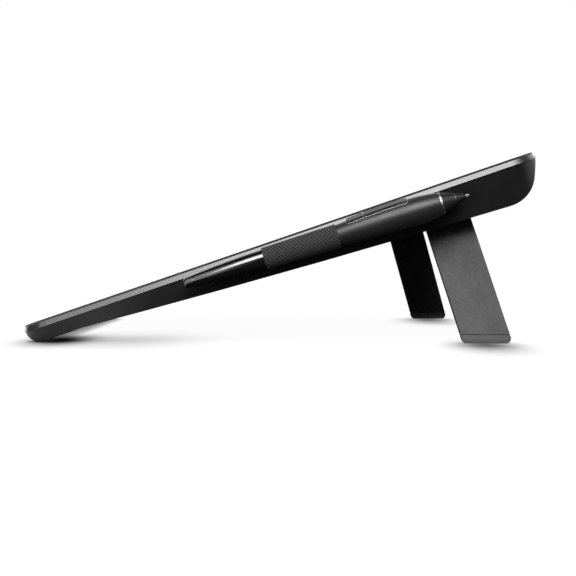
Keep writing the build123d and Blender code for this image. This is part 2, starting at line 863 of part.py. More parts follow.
with BuildPart() as board_screws:
    with BuildSketch(deck_level(board_bottom)):
        with Locations((0, board_place)):
            with GridLocations(board_screw_spacing_x, board_screw_spacing_y, 2, 2):
                Circle(small_screw_radius)
    extrude(amount=small_screw_length)
    with BuildSketch(deck_level(board_bottom)):
        with Locations((0, board_place)):
            with GridLocations(board_screw_spacing_x, board_screw_spacing_y, 2, 2):
                Circle(small_screw_head_radius)
    extrude(amount=-small_screw_head_height)
board_screws.part.label = "board_screws"
export_step(board_screws.part, "parts/board_screws.step")

with BuildPart() as hinge_screws:
    with BuildSketch(leg_floor.offset(bracket_level)):
        for side in (-1, 1):
            with Locations((side * (hinge_offset - bracket_screw_offset), 0)):
                with GridLocations(0, bracket_screw_spacing, 1, 2):
                    Circle(small_screw_radius)
    extrude(amount=small_screw_length)
    with BuildSketch(leg_floor.offset(bracket_level)):
        for side in (-1, 1):
            with Locations((side * (hinge_offset - bracket_screw_offset), 0)):
                with GridLocations(0, bracket_screw_spacing, 1, 2):
                    Circle(small_screw_head_radius)
    extrude(amount=-small_screw_head_height)
hinge_screws.part.label = "hinge_screws"
export_step(hinge_screws.part, "parts/hinge_screws.step")

# Cable socket: a flat sleeve with its contact tongue, and the small board that carries it
with BuildPart() as cable_socket:
    with BuildSketch(socket_plane.offset(-socket_lip)):
        SlotOverall(socket_width, socket_height)
    extrude(amount=-socket_length)
    with BuildSketch(socket_plane.offset(-socket_lip)):
        SlotOverall(socket_width - 2 * socket_shell, socket_height - 2 * socket_shell)
    extrude(amount=-(socket_length - socket_back), mode=Mode.SUBTRACT)
    with BuildSketch(socket_plane.offset(-socket_lip - socket_tongue_setback)):
        Rectangle(socket_tongue_width, socket_tongue_height)
    extrude(amount=-(socket_length - socket_tongue_setback))
cable_socket.part.label = "cable_socket"
export_step(cable_socket.part, "parts/cable_socket.step")

with BuildPart() as port_board:
    with BuildSketch(channel_floor.offset(port_board_level)):
        with Locations((channel_offset, port_board_centre)):
            Rectangle(port_board_width, port_board_depth)
    extrude(amount=port_board_thickness)
port_board.part.label = "port_board"
export_step(port_board.part, "parts/port_board.step")

# Power button: a flanged pill in the rear wall, the switch it presses, and a lamp beside it
with BuildPart() as power_button:
    with BuildSketch(button_plane.offset(button_proud)):
        with Locations((-button_offset, 0)):
            SlotOverall(button_length, button_height)
    extrude(amount=-(button_proud + button_flange_top))
    with BuildSketch(button_plane.offset(-button_flange_top)):
        with Locations((-button_offset, 0)):
            SlotOverall(button_length + 2 * button_flange, button_height + 2 * button_flange)
    extrude(amount=-button_flange_thickness)
    fillet(power_button.faces().sort_by(button_axis)[-1].edges(), button_edge_round)
power_button.part.label = "power_button"
export_step(power_button.part, "parts/power_button.step")

with BuildPart() as power_switch:
    with BuildSketch(button_plane.offset(-switch_board_top)):
        with Locations((-button_offset, 0)):
            Rectangle(switch_board_length, switch_board_width)
    extrude(amount=-switch_board_thickness)
    with BuildSketch(button_plane.offset(-switch_board_top)):
        with Locations((-button_offset, 0)):
            Rectangle(switch_side, switch_side)
    extrude(amount=switch_height)
power_switch.part.label = "power_switch"
export_step(power_switch.part, "parts/power_switch.step")

with BuildPart() as lamp_lens:
    with BuildSketch(button_plane):
        with Locations((-button_offset - lamp_offset, 0)):
            Circle(lamp_radius)
    extrude(amount=-switch_board_top)
lamp_lens.part.label = "lamp_lens"
export_step(lamp_lens.part, "parts/lamp_lens.step")

# Legs: each hinge line runs along the underside, and the leg splays outwards from it
hinge_origin = leg_floor.from_local_coords((hinge_offset, 0, hinge_depth))
leg_view = Plane(
    origin=hinge_origin,
    x_dir=leg_floor.y_dir,
    z_dir=leg_floor.x_dir * cos(leg_splay) + leg_floor.z_dir * sin(leg_splay),
)
hinge_view = Plane(origin=hinge_origin, x_dir=leg_floor.x_dir, z_dir=-leg_floor.y_dir)
leg_inner = hinge_depth - leg_thickness
tenon_centre = hinge_depth - leg_thickness / 2


def leg_outline():
    """Outline of the leg plate, square at the hinge and running through the desk at its foot."""
    half = leg_width / 2
    with BuildSketch(leg_view.offset(leg_inner)) as outline:
        with BuildLine():
            Polyline(
                (-half, -plate_start),
                (half, -plate_start),
                (half, -leg_length - leg_width),
                (-half, -leg_length - leg_width),
                close=True,
            )
        make_face()
    return outline.sketch


# Tenon: the thin tongue at the end of the leg that the rubber foot is moulded round
with BuildPart() as foot_tenon:
    with BuildSketch(leg_view.offset(tenon_centre)):
        with BuildLine():
            Polyline(
                (rubber_tenon_inset - leg_width / 2, -plate_start - knuckle_length),
                (leg_width / 2 - rubber_tenon_inset, -plate_start - knuckle_length),
                (leg_width / 2 - rubber_tenon_inset, -leg_reach - leg_width),
                (rubber_tenon_inset - leg_width / 2, -leg_reach - leg_width),
                close=True,
            )
        make_face()
    extrude(amount=rubber_tenon_thickness / 2, both=True)
    split(bisect_by=Plane.XY.offset(rubber_sole), keep=Keep.TOP)

# Leg form: the plate stands flat on the desk, with its two lower corners rounded
with BuildPart() as leg_form:
    extrude(leg_outline(), amount=leg_thickness)
    split(bisect_by=Plane.XY, keep=Keep.TOP)
    sole_edges = leg_form.faces().sort_by(Axis.Z)[0].edges().sort_by(SortBy.LENGTH)
    fillet(sole_edges[:2], leg_corner)
    chamfer(leg_form.faces().filter_by(leg_view).edges(), leg_edge_break)

with BuildPart() as leg_right:
    add(leg_form.part)
    split(bisect_by=Plane.XY.offset(rubber_foot_height + rubber_groove), keep=Keep.TOP)
    add(foot_tenon.part)
    with BuildSketch(leg_view.offset(leg_inner)):
        with Locations((0, -plate_start)):
            Rectangle(knuckle_length, 2 * leg_edge_break)
        Rectangle(knuckle_length, plate_start, align=(Align.CENTER, Align.MAX))
    extrude(amount=leg_thickness - leg_edge_break)
    with BuildSketch(hinge_view):
        Circle(knuckle_radius)
    extrude(amount=knuckle_length / 2, both=True)
    with BuildSketch(hinge_view):
        Circle(pin_radius + pin_clearance)
    extrude(amount=knuckle_length, both=True, mode=Mode.SUBTRACT)
leg_right.part.label = "leg_right"
export_step(leg_right.part, "parts/leg_right.step")

with BuildPart() as leg_left:
    mirror(leg_right.part, about=mirror_plane)
leg_left.part.label = "leg_left"
export_step(leg_left.part, "parts/leg_left.step")

with BuildPart() as leg_foot_right:
    add(leg_form.part)
    split(bisect_by=Plane.XY.offset(rubber_foot_height), keep=Keep.BOTTOM)
    add(foot_tenon.part, mode=Mode.SUBTRACT)
leg_foot_right.part.label = "leg_foot_right"
export_step(leg_foot_right.part, "parts/leg_foot_right.step")

with BuildPart() as leg_foot_left:
    mirror(leg_foot_right.part, about=mirror_plane)
leg_foot_left.part.label = "leg_foot_left"
export_step(leg_foot_left.part, "parts/leg_foot_left.step")

# Hinge brackets: a foot plate on the roof of the pocket, with an ear at each end of the knuckle
ear_start = knuckle_length / 2 + ear_gap
ear_end = ear_start + ear_length

with BuildPart() as hinge_bracket_right:
    with BuildSketch(leg_floor.offset(bracket_level)):
        with Locations((hinge_offset + (bracket_outboard - bracket_inboard) / 2, 0)):
            Rectangle(bracket_outboard + bracket_inboard, leg_width)
    extrude(amount=bracket_thickness)
    with BuildSketch(hinge_view):
        Circle(ear_radius)
        Rectangle(2 * ear_radius, bracket_level - hinge_depth, align=(Align.CENTER, Align.MIN))
    extrude(amount=ear_end, both=True)
    with BuildSketch(hinge_view):
        Rectangle(4 * ear_radius, 2 * (bracket_level - hinge_depth))
    extrude(amount=ear_start, both=True, mode=Mode.SUBTRACT)
    with BuildSketch(hinge_view):
        Circle(pin_radius + pin_clearance)
    extrude(amount=leg_width, both=True, mode=Mode.SUBTRACT)
    with BuildSketch(leg_floor.offset(bracket_level)):
        with Locations((hinge_offset - bracket_screw_offset, 0)):
            with GridLocations(0, bracket_screw_spacing, 1, 2):
                Circle(small_screw_radius + screw_gap)
    extrude(amount=bracket_thickness, mode=Mode.SUBTRACT)
hinge_bracket_right.part.label = "hinge_bracket_right"
export_step(hinge_bracket_right.part, "parts/hinge_bracket_right.step")

with BuildPart() as hinge_bracket_left:
    mirror(hinge_bracket_right.part, about=mirror_plane)
hinge_bracket_left.part.label = "hinge_bracket_left"
export_step(hinge_bracket_left.part, "parts/hinge_bracket_left.step")

with BuildPart() as hinge_pin_right:
    with BuildSketch(hinge_view):
        Circle(pin_radius)
    extrude(amount=ear_end, both=True)
    chamfer(hinge_pin_right.edges(), pin_chamfer)
hinge_pin_right.part.label = "hinge_pin_right"
export_step(hinge_pin_right.part, "parts/hinge_pin_right.step")

with BuildPart() as hinge_pin_left:
    mirror(hinge_pin_right.part, about=mirror_plane)
hinge_pin_left.part.label = "hinge_pin_left"
export_step(hinge_pin_left.part, "parts/hinge_pin_left.step")

# Pen: every round piece is turned about the pen's axis
nib_hole = nib_radius + nib_gap
eraser_seam = eraser_travel + nib_gap
cone_taper = (cone_rear_radius - cone_front_radius) / (cone_end - nib_exposed)
collar_radius = cone_front_radius + cone_taper * (cone_collar - nib_exposed)
tube_start = cone_end + ring_length
tail_start = barrel_end + eraser_seam

with BuildPart() as pen_nib:
    with BuildSketch(pen_section):
        with BuildLine():
            Line((0, 0), (0, nib_point_radius))
            Line((0, nib_point_radius), (2 * nib_point_radius, nib_radius))
            Line((2 * nib_point_radius, nib_radius), (nib_length, nib_radius))
            Line((nib_length, nib_radius), (nib_length, 0))
            Line((nib_length, 0), (0, 0))
        make_face()
    revolve(axis=pen_axis)
pen_nib.part.label = "pen_nib"
export_step(pen_nib.part, "parts/pen_nib.step")

with BuildPart() as pen_cone:
    with BuildSketch(pen_section):
        with BuildLine():
            Polyline(
                (nib_exposed, nib_hole),
                (nib_exposed, cone_front_radius - cone_collar_step),
                (nib_exposed + cone_collar_step, cone_front_radius),
                (cone_collar, collar_radius),
                (cone_collar, collar_radius + cone_collar_step),
                (cone_end, cone_rear_radius),
                (cone_end, cone_cavity_radius),
                (cone_cavity_start, cone_cavity_radius),
                (cone_cavity_start, nib_hole),
                close=True,
            )
        make_face()
    revolve(axis=pen_axis)
pen_cone.part.label = "pen_cone"
export_step(pen_cone.part, "parts/pen_cone.step")

with BuildPart() as pen_ring:
    with BuildSketch(pen_section):
        with Locations((cone_end, cone_cavity_radius)):
            Rectangle(ring_length, ring_radius - cone_cavity_radius, align=(Align.MIN, Align.MIN))
    revolve(axis=pen_axis)
pen_ring.part.label = "pen_ring"
export_step(pen_ring.part, "parts/pen_ring.step")

# Key frame: the rocker key sits on the upper side of the pen, rolled a little outwards
key_view = Plane(
    origin=pen_view.origin,
    x_dir=pen_view.x_dir,
    z_dir=pen_view.z_dir * cos(key_roll) + pen_view.y_dir * sin(key_roll),
)
key_deck = Plane(origin=pen_view.origin, x_dir=pen_view.x_dir, z_dir=key_view.y_dir)
key_gap = key_clearance + (grip_flare_radius - key_pin_height) * sin(key_tilt)
key_middle = key_start + key_length / 2
key_end = key_start + key_length


def key_top(place):
    """Height of the key's top above the pen's axis, at a distance from the tip."""
    share = (place - grip_flare_place) / (grip_neck_place - grip_flare_place)
    return grip_flare_radius - (grip_flare_radius - grip_neck_radius) * share * share + key_proud


def key_outline(level, gap):
    """Outline of the key at a height above the pen's axis, with room all round."""
    with BuildSketch(key_deck.offset(level)) as outline:
        with Locations((key_middle, 0)):
            RectangleRounded(key_length + 2 * gap, key_width + 2 * gap, key_end_round + gap)
    return outline.sketch


grip_flare = (grip_flare_place, grip_flare_radius)
with BuildPart() as pen_grip:
    with BuildSketch(pen_section):
        with BuildLine():
            TangentArc(grip_flare, (tube_start, grip_front_radius), tangent=(-1, 0))
            TangentArc(grip_flare, (grip_neck_place, grip_neck_radius), tangent=(1, 0))
            Line((grip_neck_place, grip_neck_radius), (grip_end, grip_end_radius))
            Line((grip_end, grip_end_radius), (grip_end, tube_radius))
            Line((grip_end, tube_radius), (tube_start, tube_radius))
            Line((tube_start, tube_radius), (tube_start, grip_front_radius))
        make_face()
    revolve(axis=pen_axis)
    extrude(key_outline(key_foot - key_gap, key_gap), amount=grip_flare_radius, mode=Mode.SUBTRACT)
    with BuildSketch(key_view):
        with Locations((key_middle, key_pin_height)):
            Circle(key_pin_radius + pin_clearance)
    extrude(amount=key_pin_length / 2, both=True, mode=Mode.SUBTRACT)
pen_grip.part.label = "pen_grip"
export_step(pen_grip.part, "parts/pen_grip.step")

# Front tube: the stiff core under the rubber grip
with BuildPart() as pen_tube:
    with BuildSketch(pen_section):
        with Locations((tube_start, tube_bore)):
            Rectangle(tube_end - tube_start, tube_radius - tube_bore, align=(Align.MIN, Align.MIN))
    revolve(axis=pen_axis)
    extrude(key_outline(key_foot - key_gap, key_gap), amount=grip_flare_radius, mode=Mode.SUBTRACT)
    with BuildSketch(key_view):
        with Locations((key_middle, key_pin_height)):
            Circle(key_pin_radius + pin_clearance)
    extrude(amount=key_pin_length / 2, both=True, mode=Mode.SUBTRACT)
pen_tube.part.label = "pen_tube"
export_step(pen_tube.part, "parts/pen_tube.step")

with BuildPart() as side_switch:
    with BuildSketch(key_view):
        with BuildLine():
            Line((key_start, key_foot), (key_start, key_top(key_start)))
            Spline(
                (key_start, key_top(key_start)),
                (key_middle, key_top(key_middle) + key_crown),
                (key_end, key_top(key_end)),
            )
            Line((key_end, key_top(key_end)), (key_end, key_foot))
            Line((key_end, key_foot), (key_start, key_foot))
        make_face()
        with Locations((key_start + key_groove_place, key_top(key_start + key_groove_place))):
            Rectangle(key_groove_width, 2 * key_groove_depth, mode=Mode.SUBTRACT)
    extrude(amount=key_width / 2, both=True)
    extrude(key_outline(0, 0), amount=2 * grip_flare_radius, mode=Mode.INTERSECT)
    with BuildSketch(key_view):
        with Locations((key_middle, key_pin_height)):
            Circle(key_pin_radius + pin_clearance)
    extrude(amount=key_width, both=True, mode=Mode.SUBTRACT)
side_switch.part.label = "side_switch"
export_step(side_switch.part, "parts/side_switch.step")

with BuildPart() as switch_pin:
    with BuildSketch(key_view):
        with Locations((key_middle, key_pin_height)):
            Circle(key_pin_radius)
    extrude(amount=key_pin_length / 2, both=True)
switch_pin.part.label = "switch_pin"
export_step(switch_pin.part, "parts/switch_pin.step")

# Rear barrel: it slips over the front tube and narrows to the tail
barrel_seat_radius = grip_end_radius - (grip_end_radius - barrel_waist_radius) / 2 - barrel_wall
with BuildPart() as pen_barrel:
    with BuildSketch(pen_section):
        with BuildLine():
            Line((grip_end, grip_end_radius), (barrel_waist_place, barrel_waist_radius))
            TangentArc(
                (barrel_waist_place, barrel_waist_radius),
                (barrel_end, barrel_end_radius),
                tangent=(barrel_waist_place - grip_end, barrel_waist_radius - grip_end_radius),
            )
            Polyline(
                (barrel_end, barrel_end_radius),
                (barrel_end, eraser_stem_radius + pen_fit_gap),
                (barrel_cavity_end, eraser_stem_radius + pen_fit_gap),
                (barrel_cavity_end, barrel_end_radius - barrel_wall),
                (tube_end, barrel_seat_radius),
                (tube_end, tube_radius),
                (grip_end, tube_radius),
                (grip_end, grip_end_radius),
            )
        make_face()
    revolve(axis=pen_axis)
pen_barrel.part.label = "pen_barrel"
export_step(pen_barrel.part, "parts/pen_barrel.step")

stem_end = tail_start - eraser_stem_length

with BuildPart() as pen_eraser:
    with BuildSketch(pen_section):
        with BuildLine():
            Line((stem_end, 0), (stem_end, eraser_stem_radius))
            Line((stem_end, eraser_stem_radius), (tail_start, eraser_stem_radius))
            Line((tail_start, eraser_stem_radius), (tail_start, barrel_end_radius))
            Line((tail_start, barrel_end_radius), (pen_length - eraser_tip_radius, eraser_shoulder_radius))
            Spline(
                (pen_length - eraser_tip_radius, eraser_shoulder_radius),
                (pen_length, 0),
                tangents=((eraser_tip_radius, eraser_shoulder_radius - barrel_end_radius), (0, -1)),
            )
            Line((pen_length, 0), (stem_end, 0))
        make_face()
    revolve(axis=pen_axis)
pen_eraser.part.label = "pen_eraser"
export_step(pen_eraser.part, "parts/pen_eraser.step")

# Inside the pen: the coil round the nib, the force sensor behind it and the circuit board
coil_radius = cone_cavity_radius - pen_fit_gap
coil_bore = nib_radius + pen_fit_gap
sensor_place = nib_length + nib_travel + pen_fit_gap
pen_board_drop = (tube_bore - nib_gap) * cos(45)
pen_board_width = 2 * pen_board_drop

with BuildPart() as pen_coil:
    with BuildSketch(pen_section):
        with Locations((cone_cavity_start + pen_fit_gap, coil_bore)):
            Rectangle(coil_length, coil_radius - coil_bore, align=(Align.MIN, Align.MIN))
    revolve(axis=pen_axis)
pen_coil.part.label = "pen_coil"
export_step(pen_coil.part, "parts/pen_coil.step")

with BuildPart() as force_sensor:
    with BuildSketch(pen_section):
        with Locations((sensor_place, 0)):
            Rectangle(sensor_length, tube_bore - pen_fit_gap, align=(Align.MIN, Align.MIN))
    revolve(axis=pen_axis)
force_sensor.part.label = "force_sensor"
export_step(force_sensor.part, "parts/force_sensor.step")

with BuildPart() as pen_board:
    with BuildSketch(key_deck.offset(-pen_board_drop)):
        with Locations((sensor_place + sensor_length + pen_fit_gap, 0)):
            Rectangle(pen_board_length, pen_board_width, align=(Align.MIN, Align.CENTER))
    extrude(amount=pen_board_height)
pen_board.part.label = "pen_board"
export_step(pen_board.part, "parts/pen_board.step")

# Textile loop: a tight sleeve round the pen, with a tail that is glued to the clip in the side wall
loop_front_bore = grip_neck_radius + loop_gap
loop_rear_bore = barrel_waist_radius + loop_gap
anchor_distance = anchor_plane.to_local_coords(pen_view.from_local_coords((loop_middle, 0, 0))).Z

with BuildPart() as pen_loop:
    with BuildSketch(pen_section):
        with BuildLine():
            Polyline(
                (loop_start, 0),
                (loop_start, loop_front_bore + loop_thickness),
                (loop_end, loop_rear_bore + loop_thickness),
                (loop_end, 0),
                close=True,
            )
        make_face()
    revolve(axis=pen_axis)
    with BuildSketch(pen_view):
        with Locations((loop_middle, 0)):
            Rectangle(anchor_length - 2 * loop_gap, loop_tail_height)
    extrude(amount=anchor_distance - loop_gap)
    with BuildSketch(pen_section):
        with BuildLine():
            Polyline(
                (loop_start - loop_gap, 0),
                (loop_start - loop_gap, loop_front_bore),
                (loop_end + loop_gap, loop_rear_bore),
                (loop_end + loop_gap, 0),
                close=True,
            )
        make_face()
    revolve(axis=pen_axis, mode=Mode.SUBTRACT)
pen_loop.part.label = "pen_loop"
export_step(pen_loop.part, "parts/pen_loop.step")

with BuildPart() as loop_anchor:
    with BuildSketch(anchor_plane):
        Rectangle(anchor_length, anchor_height)
    extrude(amount=-shell_wall)
    with BuildSketch(anchor_plane.offset(-shell_wall)):
        Rectangle(anchor_length + 2 * anchor_flange, anchor_height + 2 * anchor_flange)
    extrude(amount=-anchor_flange_thickness)
loop_anchor.part.label = "loop_anchor"
export_step(loop_anchor.part, "parts/loop_anchor.step")
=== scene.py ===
"""Pen display on two folding legs, with its pen held in a ribbed textile loop at the right-hand side."""

import json
import logging
import math
from dataclasses import dataclass
from enum import Enum

import bmesh
import bpy
from mathutils import Matrix, Vector
from mathutils.bvhtree import BVHTree


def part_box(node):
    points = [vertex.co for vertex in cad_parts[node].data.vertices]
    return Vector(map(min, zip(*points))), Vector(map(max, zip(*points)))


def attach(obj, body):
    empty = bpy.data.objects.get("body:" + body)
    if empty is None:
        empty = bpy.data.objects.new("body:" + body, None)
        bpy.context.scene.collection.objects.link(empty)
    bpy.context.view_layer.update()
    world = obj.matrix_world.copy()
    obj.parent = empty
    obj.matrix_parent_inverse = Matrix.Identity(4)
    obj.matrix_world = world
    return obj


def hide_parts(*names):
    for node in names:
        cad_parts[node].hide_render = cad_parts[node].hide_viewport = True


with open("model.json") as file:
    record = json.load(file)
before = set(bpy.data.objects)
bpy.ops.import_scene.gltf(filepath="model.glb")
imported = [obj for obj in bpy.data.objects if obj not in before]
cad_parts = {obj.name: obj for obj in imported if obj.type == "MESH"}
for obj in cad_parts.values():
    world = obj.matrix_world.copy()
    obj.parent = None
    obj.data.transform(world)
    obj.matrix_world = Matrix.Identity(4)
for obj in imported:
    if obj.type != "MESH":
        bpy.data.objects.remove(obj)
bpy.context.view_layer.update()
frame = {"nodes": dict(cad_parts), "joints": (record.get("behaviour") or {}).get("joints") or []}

log = logging.getLogger("pen_display")
Colour = tuple[float, float, float]
Place = tuple[float, float, float]
Pair = tuple[float, float]
Ring = list[bmesh.types.BMVert]
MM = 0.001
SMOOTH_ANGLE = 60
# Name of the mesh layer that carries the painted shade of the loop's rib grooves.
GROOVE_SHADE = "groove"
GLASS_DUST = (0.3, 0.3, 0.3)


class Grain(Enum):
    """Textures of a moulded, cast or rolled surface: grains per metre, relief in metres, share of pebbles."""

    POLISHED = (900.0, 0.000002, 0.0)
    SATIN = (2600.0, 0.00001, 0.2)
    FINE = (1900.0, 0.00003, 0.5)
    SPARK = (1150.0, 0.00007, 0.8)
    RUBBER = (2200.0, 0.00004, 0.3)

    @property
    def scale(self) -> float:
        """Grains in a metre."""
        return self.value[0]

    @property
    def relief(self) -> float:
        """Height of the grain in metres."""
        return self.value[1]

    @property
    def pebbles(self) -> float:
        """Share of round pebbles in the grain, from 0 to 1."""
        return self.value[2]


class Wiring:
    """Short calls for adding and joining the nodes of one shader tree."""

    def __init__(self, tree: bpy.types.NodeTree) -> None:
        """Starts on a node tree.

        Args:
            tree: the tree of a material, a world or a group.
        """
        self.tree = tree

    def add(self, kind: str, **settings: object) -> bpy.types.Node:
        """Adds one node.

        Args:
            kind: the node's class name.
            settings: properties of the node to set.

        Returns:
            The new node.
        """
        node = self.tree.nodes.new(kind)
        for name, value in settings.items():
            setattr(node, name, value)
        return node

    def feed(self, socket: bpy.types.NodeSocket, value: object) -> None:
        """Links a socket to another one, or sets its own value.

        Args:
            socket: the input to feed.
            value: an output socket, or a plain value.
        """
        if isinstance(value, bpy.types.NodeSocket):
            self.tree.links.new(value, socket)
        else:
            socket.default_value = value

    def maths(self, operation: str, *values: object, clamp: bool = False) -> bpy.types.NodeSocket:
        """Adds a Math node.

        Args:
            operation: the node's operation.
            values: its inputs, each a socket or a number.
            clamp: whether the result is kept between 0 and 1.

        Returns:
            The result's socket.
        """
        node = self.add("ShaderNodeMath", operation=operation, use_clamp=clamp)
        for socket, value in zip(node.inputs, values):
            self.feed(socket, value)
        return node.outputs[0]

    def mix(self, share: object, first: object, second: object) -> bpy.types.NodeSocket:
        """Mixes two colours.

        Args:
            share: the share of the second colour.
            first: the first colour, a socket or a tuple of four.
            second: the second colour, likewise.

        Returns:
            The mixed colour's socket.
        """
        node = self.add("ShaderNodeMix", data_type="RGBA")
        self.feed(node.inputs[0], share)
        self.feed(node.inputs[6], first)
        self.feed(node.inputs[7], second)
        return node.outputs[2]

    def remap(
        self, value: object, low: float, high: float, to_low: object = 0.0, to_high: object = 1.0
    ) -> bpy.types.NodeSocket:
        """Maps one range of values onto another, and clamps it.

        Args:
            value: the value to map.
            low: the value that becomes `to_low`.
            high: the value that becomes `to_high`.
            to_low: the lower end of the result.
            to_high: the upper end of the result.

        Returns:
            The mapped value's socket.
        """
        node = self.add("ShaderNodeMapRange")
        for index, part in enumerate((value, low, high, to_low, to_high)):
            self.feed(node.inputs[index], part)
        return node.outputs[0]

    def noise(self, place: object, scale: object, detail: float, rough: float) -> bpy.types.NodeSocket:
        """Adds a Noise Texture.

        Args:
            place: the socket of the coordinates.
            scale: the texture's scale.
            detail: its detail.
            rough: its roughness.

        Returns:
            The socket of its value.
        """
        node = self.add("ShaderNodeTexNoise")
        self.feed(node.inputs["Vector"], place)
        self.feed(node.inputs["Scale"], scale)
        node.inputs["Detail"].default_value = detail
        node.inputs["Roughness"].default_value = rough
        return node.outputs[0]

    def cells(self, place: object, scale: object, **settings: object) -> bpy.types.NodeSocket:
        """Adds a Voronoi Texture.

        Args:
            place: the socket of the coordinates.
            scale: the texture's scale.
            settings: properties of the node to set.

        Returns:
            The socket of the distance to the nearest cell.
        """
        node = self.add("ShaderNodeTexVoronoi", **settings)
        self.feed(node.inputs["Vector"], place)
        self.feed(node.inputs["Scale"], scale)
        return node.outputs["Distance"]

    def spot(self) -> bpy.types.NodeSocket:
        """Gives the place of the shaded point, in metres."""
        return self.add("ShaderNodeTexCoord").outputs["Object"]

    def split(self, vector: bpy.types.NodeSocket) -> bpy.types.Node:
        """Gives the node whose outputs are a vector's three parts."""
        node = self.add("ShaderNodeSeparateXYZ")
        self.feed(node.inputs[0], vector)
        return node

    def blend(self, first: object, first_share: object, second: object, second_share: object) -> bpy.types.NodeSocket:
        """Adds up shares of two values.

        Args:
            first: the first value, a socket or a number.
            first_share: what it is multiplied by.
            second: the second value, likewise.
            second_share: what that is multiplied by.

        Returns:
            The sum's socket.
        """
        terms = [self.maths("MULTIPLY", *pair) for pair in ((first, first_share), (second, second_share))]
        return self.maths("ADD", *terms)


class Effect(Wiring):
    """A node group that several finishes share, with named inputs and outputs."""

    def __init__(self, name: str) -> None:
        """Makes an empty group.

        Args:
            name: the group's name.
        """
        super().__init__(bpy.data.node_groups.new(name, "ShaderNodeTree"))
        self.start = self.add("NodeGroupInput")
        self.end = self.add("NodeGroupOutput")

    def entry(self, name: str, default: float) -> bpy.types.NodeSocket:
        """Adds a named number input.

        Args:
            name: the input's name.
            default: its default value.

        Returns:
            The socket that carries it inside the group.
        """
        socket = self.tree.interface.new_socket(name, in_out="INPUT", socket_type="NodeSocketFloat")
        socket.default_value = default
        return self.start.outputs[name]

    def result(self, name: str, value: bpy.types.NodeSocket) -> None:
        """Adds a named number output.

        Args:
            name: the output's name.
            value: the socket inside the group that it carries out.
        """
        self.tree.interface.new_socket(name, in_out="OUTPUT", socket_type="NodeSocketFloat")
        self.tree.links.new(value, self.end.inputs[name])


def make_grain() -> bpy.types.NodeTree:
    """Builds the effect of a moulded grain: a height, and a slow drift of tone.

    Returns:
        The node group.
    """
    effect = Effect("moulded grain")
    scale = effect.entry("Scale", Grain.FINE.scale)
    pebbles = effect.entry("Pebbles", Grain.FINE.pebbles)
    place = effect.spot()
    fine = effect.noise(place, scale, detail=3.0, rough=0.6)
    round_cells = effect.maths("SUBTRACT", 1.0, effect.cells(place, scale, feature="SMOOTH_F1"))
    effect.result("Height", effect.blend(fine, effect.maths("SUBTRACT", 1.0, pebbles), round_cells, pebbles))
    broad = effect.noise(place, 26.0, detail=3.0, rough=0.55)
    speckle = effect.noise(place, effect.maths("MULTIPLY", scale, 0.6), detail=2.0, rough=0.5)
    effect.result("Tone", effect.remap(effect.blend(broad, 0.45, speckle, 0.55), 0.36, 0.64))
    return effect.tree


def make_handling() -> bpy.types.NodeTree:
    """Builds the effect of handling: patches that are a little glossier or duller.

    Returns:
        The node group.
    """
    effect = Effect("handling marks")
    amount = effect.entry("Amount", 0.05)
    place = effect.spot()
    patches = effect.noise(place, 34.0, detail=4.0, rough=0.6)
    smears = effect.noise(place, 150.0, detail=2.0, rough=0.5)
    signed = effect.remap(effect.blend(patches, 0.7, smears, 0.3), 0.38, 0.62, -1.0, 1.0)
    effect.result("Shift", effect.maths("MULTIPLY", signed, amount))
    return effect.tree


def make_dust() -> bpy.types.NodeTree:
    """Builds the effect of fine dust, which settles on what faces up.

    Returns:
        The node group.
    """
    effect = Effect("settled dust")
    amount = effect.entry("Amount", 0.2)
    place = effect.spot()
    facing = effect.split(effect.add("ShaderNodeNewGeometry").outputs["Normal"])
    upward = effect.remap(facing.outputs["Z"], 0.2, 0.95)
    specks = effect.remap(effect.noise(place, 1400.0, detail=1.0, rough=0.4), 0.62, 0.74)
    film = effect.remap(effect.noise(place, 60.0, detail=3.0, rough=0.5), 0.35, 0.75, 0.0, 0.35)
    mask = effect.maths("MULTIPLY", upward, effect.maths("ADD", specks, film, clamp=True))
    effect.result("Mask", effect.maths("MULTIPLY", mask, amount))
    return effect.tree


def make_brushing() -> bpy.types.NodeTree:
    """Builds the effect of rolled or brushed metal: fine lines along X.

    Returns:
        The node group.
    """
    effect = Effect("brushed lines")
    scale = effect.entry("Scale", 1500.0)
    stretch = effect.add("ShaderNodeMapping")
    effect.feed(stretch.inputs["Vector"], effect.spot())
    stretch.inputs["Scale"].default_value = (0.03, 1.0, 1.0)
    lines = effect.noise(stretch.outputs[0], scale, detail=3.0, rough=0.7)
    effect.result("Height", lines)
    effect.result("Tone", effect.remap(lines, 0.35, 0.65))
    return effect.tree


def make_yarn() -> bpy.types.NodeTree:
    """Builds the effect of covered elastic yarn: short fibres and a fine cross weave.

    Returns:
        The node group.
    """
    effect = Effect("elastic yarn")
    scale = effect.entry("Scale", 2400.0)
    place = effect.spot()
    fibres = effect.noise(place, scale, detail=4.0, rough=0.7)
    knots = effect.maths("SUBTRACT", 1.0, effect.cells(place, scale, feature="F1", distance="CHEBYCHEV"))
    height = effect.blend(fibres, 0.5, knots, 0.5)
    effect.result("Height", height)
    effect.result("Tone", effect.remap(height, 0.35, 0.75))
    return effect.tree


def make_patch() -> bpy.types.NodeTree:
    """Builds the effect of a soft shadow round one place.

    Returns:
        The node group. Its inputs are the distances from the place, as shares of the shadow's reach, and how far
        the piece that throws it has moved away.
    """
    effect = Effect("soft shadow")
    depth = effect.entry("Depth", 0.5)
    entries = [effect.entry(name, 0.0) for name in ("X", "Y", "Moved")]
    squares = [effect.maths("MULTIPLY", entry, entry) for entry in entries]
    spread = effect.maths("ADD", effect.maths("ADD", squares[0], squares[1]), squares[2])
    fade = effect.maths("EXPONENT", effect.maths("MULTIPLY", spread, -1.0))
    effect.result("Light", effect.maths("SUBTRACT", 1.0, effect.maths("MULTIPLY", fade, depth)))
    return effect.tree


